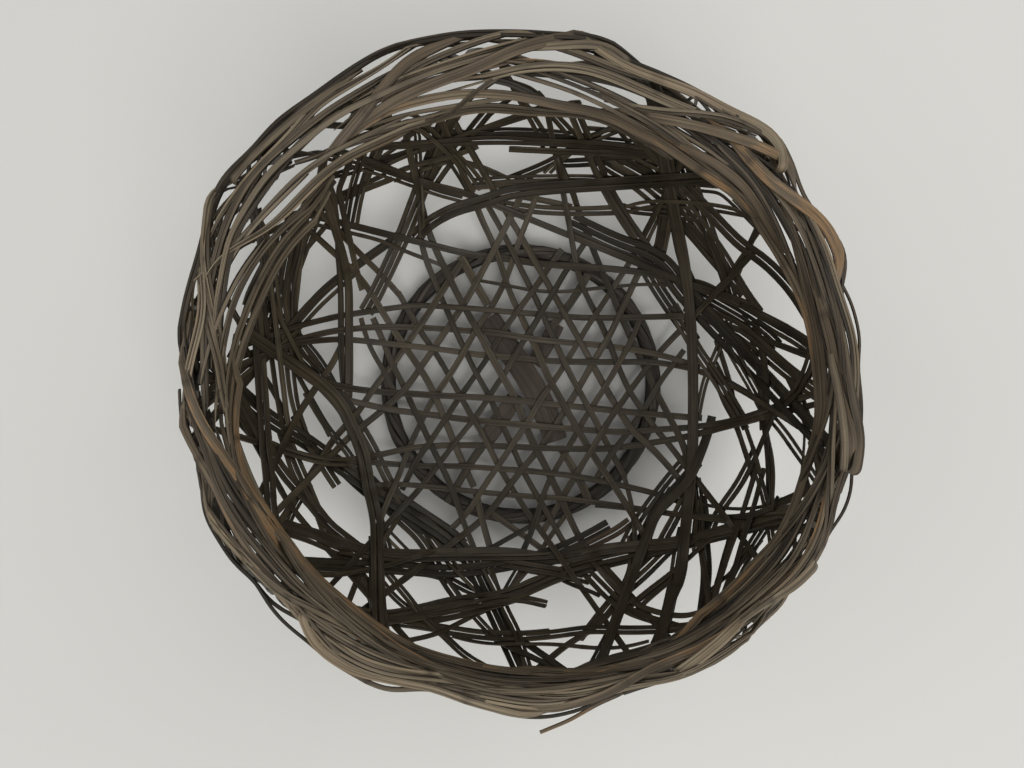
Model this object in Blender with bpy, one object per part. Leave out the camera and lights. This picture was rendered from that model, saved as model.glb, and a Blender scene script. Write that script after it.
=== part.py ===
"""Ikebana flower basket, a round bowl of split bamboo woven without a fixed order.

The basket is built up the way it is made: flat strips cross in three directions over the floor and run up the
wall, wider bands are worked in behind and in front of them, three slats stiffen the floor, a foot of two hoops
carries it and a rope of twisted strands closes the mouth.

The strips are drawn by hand on a plan sketch, seen from an eye point above the mouth: x to the right, y down.
on_bowl() carries a sketch point along its sight line to the bowl, settle() works out which strip lies over which
and how far each one is lifted there, and strip() sweeps the flat section along the result.
Metres, +Z up, the origin at the middle of the foot's underside.
"""
import math

import bmesh
import bpy
import numpy as np
from mathutils import Vector

# ------------------------------------------------------------------ driving dimensions (m)
FLOOR_Z = 0.0135  # middle of the floor's weave
PROFILE = [  # radius and height of the weave's middle, from the flat floor to the shoulder
    (0.0000, 0.0135), (0.0500, 0.0135), (0.0820, 0.0138), (0.1000, 0.0185), (0.1160, 0.0290), (0.1290, 0.0430),
    (0.1395, 0.0600), (0.1475, 0.0790), (0.1530, 0.0980), (0.1565, 0.1160), (0.1580, 0.1320), (0.1570, 0.1470),
    (0.1535, 0.1610),
]
STRIP_T = 0.0010  # thickness of a split strip
CLEAR = 0.00078  # least play between two strips that cross
RIM_R, RIM_Z = 0.1350, 0.1780  # middle line of the rim rope
LAY_WIDE, LAY_HIGH = 0.0100, 0.0160  # half axes of the oval on which the rope's strands lie
RIM_STRANDS, RIM_TURNS = 6, 2
RIM_W, RIM_T = 0.0090, 0.0030
CORE_WIDE, CORE_HIGH = 0.0066, 0.0120
FOOT_R = 0.0845
HOOP_R, HOOP_Z = 0.1632, 0.1300  # the outer hoop at the widest place
MOUTH_Z = 0.1500  # height at which the wall's strips stop, under the rope

# the plan sketch: eye point, sketch units per unit of slope, middle of the sheet
EYE = (-0.0055, 0.0, 0.5300)
SHEET, SHEET_X, SHEET_Y = 820.0, 512.0, 384.0

SPLIT = (0.070, 0.055, 0.043, 1.0)
BAND = (0.088, 0.070, 0.055, 1.0)
SLAT = (0.072, 0.052, 0.038, 1.0)
ROPE = (0.150, 0.122, 0.093, 1.0)
FOOT = (0.052, 0.042, 0.034, 1.0)

# ------------------------------------------------------------------ the strips on the plan sketch
# name: (width, start runs up to the rope, end runs up to the rope, points)
ACROSS = {
    "strip_across_1": (6.5, True, True, [(350, 225), (398, 236), (440, 247), (510, 259), (600, 268), (680, 280), (722, 294)]),
    "strip_across_2": (6.0, True, True, [(290, 329), (338, 316), (378, 310), (450, 307), (540, 314), (600, 318), (700, 317), (742, 331)]),
    "strip_across_3": (6.0, True, True, [(262, 356), (314, 341), (365, 341), (430, 348), (520, 358), (600, 362), (680, 366), (745, 392), (776, 404)]),
    "strip_across_4": (7.5, True, False, [(276, 354), (314, 378), (365, 390), (430, 395), (520, 401), (600, 409), (686, 417), (716, 419)]),
    "strip_across_5": (6.0, False, True, [(346, 400), (390, 409), (470, 420), (550, 427), (630, 432), (686, 428), (735, 420), (787, 403)]),
    "strip_across_6": (6.0, True, True, [(270, 446), (322, 461), (365, 457), (430, 446), (540, 448), (630, 446), (700, 432), (752, 420)]),
    "strip_across_7": (5.5, False, True, [(378, 487), (450, 489), (510, 495), (570, 499), (640, 509), (690, 516), (748, 516), (790, 500)]),
}
RISING = {
    "strip_rising_1": (6.5, True, False, [(340, 431), (361, 408), (387, 374), (410, 339), (430, 311), (443, 290), (462, 262)]),
    "strip_rising_2": (6.5, True, False, [(327, 460), (363, 426), (400, 395), (431, 353), (460, 310), (489, 259), (506, 226), (531, 176)]),
    "strip_rising_3": (6.0, True, False, [(368, 552), (392, 490), (412, 440), (441, 388), (474, 334), (506, 280), (525, 226), (542, 180)]),
    "strip_rising_4": (6.0, True, False, [(381, 531), (424, 484), (463, 432), (501, 378), (535, 324), (567, 268), (591, 232)]),
    "strip_rising_5": (6.0, False, True, [(438, 541), (472, 507), (504, 458), (539, 401), (577, 344), (611, 291), (632, 258), (655, 214)]),
    "strip_rising_6": (6.5, True, False, [(427, 562), (480, 522), (519, 473), (560, 418), (598, 354), (627, 298), (648, 252)]),
    "strip_rising_7": (6.0, False, True, [(541, 535), (571, 483), (603, 430), (637, 381), (682, 329), (728, 280)]),
}
FALLING = {
    "strip_falling_1": (6.5, True, False, [(344, 262), (374, 297), (398, 336), (429, 383), (452, 437), (474, 487)]),
    "strip_falling_2": (6.0, False, True, [(398, 292), (422, 334), (449, 376), (478, 426), (508, 482), (536, 524), (566, 566)]),
    "strip_falling_3": (7.5, True, True, [(417, 180), (434, 246), (468, 313), (503, 378), (537, 451), (567, 512), (598, 560)]),
    "strip_falling_4": (6.5, True, False, [(478, 214), (503, 272), (531, 338), (562, 401), (595, 458), (632, 514), (652, 548)]),
    "strip_falling_5": (6.5, True, False, [(497, 196), (525, 243), (563, 311), (598, 375), (638, 436), (670, 468), (690, 492)]),
    "strip_falling_6": (6.0, True, True, [(563, 192), (577, 270), (606, 335), (636, 401), (670, 445), (712, 500)]),
    "strip_falling_7": (6.5, False, True, [(577, 206), (600, 267), (628, 332), (661, 401), (686, 452), (697, 520)]),
}
WALL = {
    "band_nw_tall": (16.0, True, False, [(420, 199), (405, 228), (391, 256), (377, 284), (364, 312)]),
    "band_nw_low": (12.0, True, True, [(352, 155), (401, 176), (440, 189), (490, 203)]),
    "band_n_cross": (14.0, False, True, [(414, 238), (455, 209), (490, 197), (550, 188), (610, 184)]),
    "band_ne_dark": (20.0, False, True, [(571, 222), (620, 246), (665, 266), (699, 308)]),
    "band_ne_steep": (12.5, True, False, [(598, 169), (620, 211), (645, 248), (668, 286)]),
    "band_e_upright": (13.0, True, True, [(668, 182), (684, 262), (692, 330), (693, 430), (689, 495), (683, 560), (665, 640)]),
    "band_e_slant": (12.0, True, True, [(717, 220), (750, 252), (784, 280), (812, 322)]),
    "band_se_cut": (9.5, False, True, [(712, 414), (697, 463), (669, 497), (646, 539)]),
    "band_s_low": (10.5, True, True, [(373, 553), (465, 552), (560, 560), (604, 549), (678, 543), (730, 528)]),
    "band_s_cut": (15.0, False, True, [(609, 525), (560, 548), (500, 566), (440, 572), (375, 567)]),
    "band_sw_dark": (16.0, True, True, [(250, 402), (288, 430), (340, 468), (400, 506), (450, 540), (486, 595)]),
    "band_sw_upright": (13.0, True, True, [(264, 422), (269, 470), (272, 515), (285, 548)]),
    "band_sw_steep": (13.0, True, True, [(300, 369), (340, 405), (360, 450), (376, 515), (377, 583), (378, 613)]),
    "band_s_rim": (15.0, True, True, [(340, 612), (388, 616), (440, 606), (500, 598), (550, 578), (612, 560)]),
    "band_w_upright": (9.0, True, False, [(333, 222), (346, 262), (349, 320), (348, 400)]),
    "band_w_sweep": (10.0, True, False, [(300, 317), (340, 278), (378, 250), (404, 230)]),
}
SLATS = {
    "floor_slat_main": (24.0, [(497, 320), (526, 378), (556, 439)]),
    "floor_slat_left": (17.0, [(489, 436), (503, 412), (516, 391)]),
    "floor_slat_right": (17.0, [(535, 361), (545, 345), (558, 322)]),
}


# ------------------------------------------------------------------ the bowl
def smooth(points, step):
    """Points about every step along a Catmull-Rom curve through the given points."""
    p = [np.array(q, float) for q in points]
    p = [2 * p[0] - p[1]] + p + [2 * p[-1] - p[-2]]
    out = []
    for a, b, c, d in zip(p, p[1:], p[2:], p[3:]):
        n = max(1, int(round(np.linalg.norm(c - b) / step)))
        for t in np.arange(n) / n:
            out.append(0.5 * (2 * b + (c - a) * t + (2 * a - 5 * b + 4 * c - d) * t * t + (3 * b - a - 3 * c + d) * t ** 3))
    out.append(p[-2])
    return np.array(out)


MERIDIAN = smooth(PROFILE, 0.0008)


def on_bowl(x, y):
    """World point, inward normal and height on the meridian for sketch points (arrays)."""
    x, y = np.asarray(x, float), np.asarray(y, float)
    depth = EYE[2] - MERIDIAN[:, 1]
    px = EYE[0] + np.outer((x - SHEET_X) / SHEET, depth)
    py = EYE[1] - np.outer((y - SHEET_Y) / SHEET, depth)
    over = np.hypot(px, py) - MERIDIAN[:, 0]
    k = np.argmax(over <= 0, axis=1)
    k[(over > 0).all(axis=1)] = len(MERIDIAN) - 1
    rows = np.arange(len(x))
    j = np.maximum(k - 1, 0)
    a, b = over[rows, j], over[rows, k]
    t = np.where(k > 0, np.clip(a / np.where(a - b == 0, 1, a - b), 0, 1), 0.0)
    flat = k == 0
    r = MERIDIAN[j, 0] * (1 - t) + MERIDIAN[k, 0] * t
    z = MERIDIAN[j, 1] * (1 - t) + MERIDIAN[k, 1] * t
    qx = EYE[0] + (x - SHEET_X) / SHEET * (EYE[2] - z)
    qy = EYE[1] - (y - SHEET_Y) / SHEET * (EYE[2] - z)
    length = np.maximum(np.hypot(qx, qy), 1e-9)
    keep = np.where(r < 0.03, 1.0, r / length)
    lo, hi = np.maximum(j - 4, 0), np.minimum(j + 5, len(MERIDIAN) - 1)
    dr, dz = MERIDIAN[hi, 0] - MERIDIAN[lo, 0], MERIDIAN[hi, 1] - MERIDIAN[lo, 1]
    size = np.hypot(dr, dz)
    normal = np.stack([-dz / size * qx / length, -dz / size * qy / length, dr / size], axis=1)
    return np.stack([qx * keep, qy * keep, z], axis=1), normal, z


EYE_DEPTH = EYE[2] - FLOOR_Z


def floor_hit(x, y):
    """True where the sight line meets the flat floor."""
    return np.hypot(EYE[0] + (x - SHEET_X) / SHEET * EYE_DEPTH, (y - SHEET_Y) / SHEET * EYE_DEPTH) < 0.08


def up_to_rope(line, step):
    """The sketch line carried on past its end until it is under the rope."""
    out = [q for q in line]
    way = out[-1] - out[-4]
    way = way / np.linalg.norm(way)
    for _ in range(60):
        z = on_bowl([out[-1][0]], [out[-1][1]])[2][0]
        if z >= MOUTH_Z:
            break
        out.append(out[-1] + way * step)
    while len(out) > 8 and on_bowl([out[-1][0]], [out[-1][1]])[2][0] > MOUTH_Z:
        out.pop()
    return np.array(out)


STEP = 4.0


class Strip:
    """One flat strip: its sketch line, width, and its lift over the bowl at each point."""

    def __init__(self, name, width, start_up, end_up, points, phase, wave, bias, colour):
        self.name, self.width, self.colour = name, width, colour
        line = smooth(points, STEP)
        if end_up:
            line = up_to_rope(line, STEP)
        if start_up:
            line = up_to_rope(line[::-1], STEP)[::-1]
        self.line = line
        along = np.gradient(line, axis=0)
        along /= np.linalg.norm(along, axis=1)[:, None]
        self.side = np.stack([-along[:, 1], along[:, 0]], axis=1)
        run = np.concatenate([[0], np.cumsum(np.linalg.norm(np.diff(line, axis=0), axis=1))])
        self.rank = np.cos(2 * math.pi * run / wave + phase) + bias
        self.lift = np.zeros(len(line))


def touching(a, b):
    """For each place where strip a lies across strip b: point of a, point of b and the share of the next one."""
    out = []
    seg = b.line[1:] - b.line[:-1]
    size = (seg ** 2).sum(1)
    for lat in (-0.5, -0.17, 0.17, 0.5):
        p = a.line + a.side * (a.width * lat)
        d = p[:, None, :] - b.line[None, :-1, :]
        t = np.clip((d * seg).sum(2) / size, 0, 1)
        gap = np.linalg.norm(d - seg * t[:, :, None], axis=2)
        j = gap.argmin(1)
        i = np.arange(len(p))
        ok = gap[i, j] < b.width / 2 + 0.9
        out += [(int(m), int(j[m]), float(t[m, j[m]])) for m in i[ok]]
    return out


def settle(strips):
    """Lifts the strips where they cross, so that the one with the higher rank there clears the other one."""
    first = np.cumsum([0] + [len(s.line) for s in strips])
    links = []
    for m, a in enumerate(strips):
        for n in range(len(strips)):
            b = strips[n]
            if m == n or (a.line.min(0) > b.line.max(0) + 20).any() or (b.line.min(0) > a.line.max(0) + 20).any():
                continue
            spots = touching(a, b)
            links += [(m, n) + q for q in spots]
    # one order for each stretch where a pair meets
    groups = {}
    for m, n, i, j, t in links:
        key = (min(m, n), max(m, n))
        groups.setdefault(key, []).append((i, j, t) if m < n else (j + t, i, -1.0))
    rows = []
    margin = []
    gid = 0
    for (m, n), spots in sorted(groups.items()):
        spots.sort(key=lambda q: q[0])
        bunch = [[spots[0]]]
        for q in spots[1:]:
            if q[0] - bunch[-1][-1][0] > 3.5:
                bunch.append([])
            bunch[-1].append(q)
        for piece in bunch:
            ia = int(round(float(np.mean([q[0] for q in piece]))))
            ib = int(round(float(np.mean([q[1] for q in piece]))))
            ra = strips[m].rank[min(ia, len(strips[m].rank) - 1)]
            rb = strips[n].rank[min(ib, len(strips[n].rank) - 1)]
            sign = 1.0 if ra >= rb else -1.0
            margin.append(abs(ra - rb))
            for q in piece:
                if q[2] >= 0:  # a point of m over a run of n
                    rows.append((first[m] + q[0], first[m] + q[0], 0.0, first[n] + q[1], first[n] + q[1] + 1, q[2], sign, gid))
                else:  # a point of n over a run of m
                    k = int(q[0])
                    k2 = min(k + 1, len(strips[m].line) - 1)
                    rows.append((first[m] + k, first[m] + k2, q[0] - k, first[n] + q[1], first[n] + q[1], 0.0, sign, gid))
            gid += 1
    rows = np.array(rows)
    a0, a1, b0, b1 = (rows[:, c].astype(int) for c in (0, 1, 3, 4))
    ta, tb, sign, gids = rows[:, 2], rows[:, 5], rows[:, 6].copy(), rows[:, 7].astype(int)
    widths = np.concatenate([np.full(len(s.line), s.width) for s in strips])
    need = STRIP_T + CLEAR + 0.00012 * (np.maximum(widths[a0], widths[b0]) > 11)
    total = first[-1]
    left, right = np.arange(total), np.arange(total)
    for m in range(len(strips)):
        left[first[m] + 1:first[m + 1]] -= 1
        right[first[m]:first[m + 1] - 1] += 1
    h = np.zeros(total)

    def push(h, power):
        ha = h[a0] * (1 - ta) + h[a1] * ta
        hb = h[b0] * (1 - tb) + h[b1] * tb
        lack = need - sign * (ha - hb)
        v = np.maximum(lack, 0) * 0.5 * power
        up, down = np.zeros(total), np.zeros(total)
        top, low = np.where(sign > 0, v, 0), np.where(sign < 0, v, 0)
        for k, w in ((a0, top), (a1, top), (b0, low), (b1, low)):
            np.maximum.at(up, k, w)
        for k, w in ((b0, top), (b1, top), (a0, low), (a1, low)):
            np.maximum.at(down, k, w)
        return h + up - down, lack

    for turn in range(40):
        for _ in range(60):
            h = h + 0.45 * (0.5 * (h[left] + h[right]) - h)
            h *= 0.985
            h, lack = push(h, 1.0)
        for _ in range(60):
            h, lack = push(h, 1.0)
        if lack.max() < 0.00006:
            break
        bad = sorted(set(gids[lack > 0.5 * lack.max()]), key=lambda g: margin[g])
        sign[gids == bad[0]] *= -1
        margin[bad[0]] += 5.0
    for m, s in enumerate(strips):
        s.lift = h[first[m]:first[m + 1]]
    return float(lack.max())


def to_bowl(points):
    """The points moved along the bowl's normal onto it."""
    r = np.hypot(points[:, 0], points[:, 1])
    gap = np.hypot(r[:, None] - MERIDIAN[None, :, 0], points[:, 2][:, None] - MERIDIAN[None, :, 1])
    k = np.clip(gap.argmin(1), 1, len(MERIDIAN) - 2)
    dr, dz = (MERIDIAN[k + 1] - MERIDIAN[k - 1]).T
    size = np.hypot(dr, dz)
    off = ((r - MERIDIAN[k, 0]) * -dz + (points[:, 2] - MERIDIAN[k, 1]) * dr) / size
    x, y = points[:, 0] / np.maximum(r, 1e-9), points[:, 1] / np.maximum(r, 1e-9)
    return points - np.stack([-dz / size * x, -dz / size * y, dr / size], axis=1) * off[:, None]


# ------------------------------------------------------------------ solids
AXIS = None


def surface(name, colour, rough):
    mat = bpy.data.materials.new(name)
    mat.use_nodes = True
    bsdf = mat.node_tree.nodes["Principled BSDF"]
    bsdf.inputs["Base Color"].default_value = colour
    bsdf.inputs["Roughness"].default_value = rough
    bsdf.inputs["Metallic"].default_value = 0.0
    return mat


def sweep(name, rings, closed, colour, rough=0.62):
    """A solid through a row of rings, each a list of corners that turns the same way; a closed row has no ends."""
    middle = sum((np.mean(r, axis=0) for r in rings), np.zeros(3)) / len(rings)
    if closed:
        middle = np.array([0.0, 0.0, middle[2]])
    mesh = bpy.data.meshes.new(name)
    bm = bmesh.new()
    rows = [[bm.verts.new(Vector(c - middle)) for c in ring] for ring in rings]
    n = len(rows[0])
    pairs = list(zip(rows, rows[1:] + rows[:1])) if closed else list(zip(rows, rows[1:]))
    for r0, r1 in pairs:
        for k in range(n):
            bm.faces.new((r0[k], r0[(k + 1) % n], r1[(k + 1) % n], r1[k]))
    if not closed:
        bm.faces.new(list(reversed(rows[0])))
        bm.faces.new(rows[-1])
    bmesh.ops.triangulate(bm, faces=[f for f in bm.faces if len(f.verts) > 3])
    bmesh.ops.recalc_face_normals(bm, faces=bm.faces)
    if bm.calc_volume(signed=True) < 0:
        bmesh.ops.reverse_faces(bm, faces=bm.faces)
    bm.to_mesh(mesh)
    bm.free()
    obj = bpy.data.objects.new(name, mesh)
    bpy.context.scene.collection.objects.link(obj)
    obj.parent = AXIS
    obj.location = Vector(middle)
    mesh.materials.append(surface(name, colour, rough))
    mesh.shade_smooth()
    mesh.set_sharp_from_angle(angle=math.radians(32))
    return obj


def thin_out(points, slack, longest):
    """Row numbers of the points that a run of straight pieces needs to stay within slack of all of them."""
    keep = [0]
    while keep[-1] < len(points) - 1:
        a = keep[-1]
        b = a + 1
        while b + 1 < len(points) and np.linalg.norm(points[b + 1][:3] - points[a][:3]) < longest:
            c = b + 1
            t = np.linspace(0, 1, c - a + 1)[:, None]
            run = points[a:c + 1]
            if np.abs(run - (points[a] * (1 - t) + points[c] * t)).max() > slack:
                break
            b = c
        keep.append(b)
    return keep


def strip(s):
    """The solid of a settled strip."""
    lats = (-0.5, 0.5) if s.width < 11.5 else (-0.5, 0.0, 0.5)
    core, mid_n, _ = on_bowl(*s.line.T)
    along = np.gradient(core, axis=0)
    along /= np.linalg.norm(along, axis=1)[:, None]
    across = np.cross(mid_n, along)
    across /= np.linalg.norm(across, axis=1)[:, None]
    half = np.zeros(len(core))
    for lat in (-0.5, 0.5):
        edge = on_bowl(*(s.line + s.side * (s.width * lat)).T)[0]
        half += 0.5 * np.abs(((edge - core) * across).sum(1))
    plain = s.width * 0.5 * (EYE[2] - core[:, 2]) / SHEET
    half = np.clip(half, 0.9 * plain, 1.45 * plain)
    across *= np.sign((across * (on_bowl(*(s.line + s.side).T)[0] - core)).sum(1))[:, None]
    cols = [to_bowl(core + across * (2 * lat * half)[:, None]) for lat in lats]
    mid = core + mid_n * s.lift[:, None]
    keep = thin_out(mid, 0.00027, 0.024)
    rings = []
    for i in keep:
        n = mid_n[i]
        top = [c[i] + n * (s.lift[i] + STRIP_T / 2) for c in cols]
        low = [c[i] + n * (s.lift[i] - STRIP_T / 2) for c in cols]
        rings.append(top + low[::-1])
    return sweep(s.name, rings, False, s.colour)


def hoop(name, radius, z, width, height, segments, colour):
    """A flat hoop round the axis; width across, height upright."""
    rings = []
    for k in range(segments):
        a = 2 * math.pi * k / segments
        u = np.array([math.cos(a), math.sin(a), 0.0])
        rings.append([u * (radius + sx * width / 2) + np.array([0, 0, z + sz * height / 2])
                      for sx, sz in ((-1, -1), (1, -1), (1, 1), (-1, 1))])
    return sweep(name, rings, True, colour)


def rope_strand(name, number, segments):
    """One strand of the rim: it winds round the rope's core as it goes round the mouth, and meets itself."""
    rings = []
    for k in range(segments):
        a = 2 * math.pi * k / segments
        w = 2 * math.pi * number / RIM_STRANDS - RIM_TURNS * a
        out = np.array([math.cos(a), math.sin(a), 0.0])
        up = np.array([0.0, 0.0, 1.0])
        centre = out * (RIM_R + LAY_WIDE * math.cos(w)) + up * (RIM_Z + LAY_HIGH * math.sin(w))
        nx, nz = math.cos(w) / LAY_WIDE, math.sin(w) / LAY_HIGH  # square to the oval
        away = (out * nx + up * nz) / math.hypot(nx, nz)
        over = (up * nx - out * nz) / math.hypot(nx, nz)
        rings.append([centre + away * (sa * RIM_T / 2) + over * (so * RIM_W / 2)
                      for sa, so in ((-1, -1), (1, -1), (1, 1), (-1, 1))])
    return sweep(name, rings, True, ROPE)


def build():
    global AXIS
    for obj in list(bpy.data.objects):
        bpy.data.objects.remove(obj, do_unlink=True)
    AXIS = bpy.data.objects.new("basket_axis", None)
    bpy.context.scene.collection.objects.link(AXIS)

    strips = []
    for family, wave, shift in ((ACROSS, 170.0, 0.0), (RISING, 160.0, 2.1), (FALLING, 165.0, 4.2)):
        for k, (name, (width, up0, up1, points)) in enumerate(family.items()):
            strips.append(Strip(name, width, up0, up1, points, shift + k * math.pi * 0.93, wave, 0.0, SPLIT))
    for k, (name, (width, up0, up1, points)) in enumerate(WALL.items()):
        strips.append(Strip(name, width, up0, up1, points, math.pi / 2, 1e6, 0.9 * math.sin(k * 2.4), BAND))
    for name, (width, points) in SLATS.items():
        strips.append(Strip(name, width, False, False, points, 0.0, 1e6, -4.0 if "main" in name else -6.0, SLAT))
    lack = settle(strips)
    for s in strips:
        strip(s)

    rings = []
    for k in range(40):
        a = 2 * math.pi * k / 40
        u = np.array([math.cos(a), math.sin(a), 0.0])
        rings.append([u * (RIM_R + CORE_WIDE * math.cos(b)) + np.array([0, 0, RIM_Z + CORE_HIGH * math.sin(b)])
                      for b in (math.pi / 3 * m for m in range(6))])
    sweep("rim_core", rings, True, FOOT)
    for m in range(RIM_STRANDS):
        rope_strand(f"rim_strand_{m + 1}", m, 48)
    hoop("outer_hoop", HOOP_R + 0.0008, HOOP_Z, 0.0016, 0.0070, 48, ROPE)
    hoop("foot_hoop_lower", FOOT_R, 0.0022, 0.0100, 0.0044, 40, FOOT)
    hoop("foot_hoop_upper", FOOT_R - 0.0008, 0.0067, 0.0078, 0.0040, 40, FOOT)
    return strips, lack


build()
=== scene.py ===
"""The looks of the ikebana basket: every splint of the weave, the wreath-like rim and the ring foot, with their finish.

The splints are drawn on a plan sketch, seen from an eye point above the mouth (x to the right, y down).
bowl_strand() carries a sketch line to the bowl, rim_strand() carries one to the rim's rope, settle() works out which
splint lies over which and how far each is lifted there, and ribbon() sweeps the bamboo's section along the result.
Metres, +Z up, the origin at the middle of the foot's underside.
"""
import math

import bpy
import numpy as np
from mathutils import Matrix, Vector


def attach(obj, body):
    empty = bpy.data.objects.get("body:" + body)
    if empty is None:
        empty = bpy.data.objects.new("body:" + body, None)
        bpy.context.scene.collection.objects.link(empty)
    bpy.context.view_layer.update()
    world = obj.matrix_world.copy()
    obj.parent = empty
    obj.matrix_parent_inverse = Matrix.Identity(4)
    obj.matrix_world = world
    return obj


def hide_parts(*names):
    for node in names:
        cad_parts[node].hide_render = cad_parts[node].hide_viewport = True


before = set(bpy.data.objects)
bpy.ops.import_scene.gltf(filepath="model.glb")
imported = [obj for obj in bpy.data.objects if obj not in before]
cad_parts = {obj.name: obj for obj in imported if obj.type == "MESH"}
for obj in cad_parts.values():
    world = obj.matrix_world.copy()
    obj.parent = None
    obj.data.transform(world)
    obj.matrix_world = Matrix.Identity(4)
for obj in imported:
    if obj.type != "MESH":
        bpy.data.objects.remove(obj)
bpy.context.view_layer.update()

# ------------------------------------------------------------------ dimensions (m)
PROFILE = [  # radius and height of the weave's middle, from the flat floor over the belly into the rim
    (0.0000, 0.0135), (0.0500, 0.0135), (0.0820, 0.0138), (0.1000, 0.0185), (0.1160, 0.0290), (0.1290, 0.0430),
    (0.1395, 0.0600), (0.1475, 0.0790), (0.1530, 0.0980), (0.1565, 0.1160), (0.1580, 0.1320), (0.1568, 0.1470),
    (0.1523, 0.1600), (0.1475, 0.1680), (0.1425, 0.1735), (0.1370, 0.1775), (0.1310, 0.1800),
]
SIGHT_TOP = 0.1500  # sketch lines are carried to the bowl up to here, and along the bowl from here on
EYE = np.array([-0.0055, 0.0, 0.5300])
SHEET, SHEET_X, SHEET_Y = 820.0, 512.0, 384.0
STRIP_T, SPLINT_T = 0.00095, 0.00075  # thickness of the weave's strips and of thin splints
RIM_Z, RIM_HIGH = 0.1800, 0.0150  # height of the rim's middle, half its height
FOOT_R = 0.0845
SEED = 11
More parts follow.
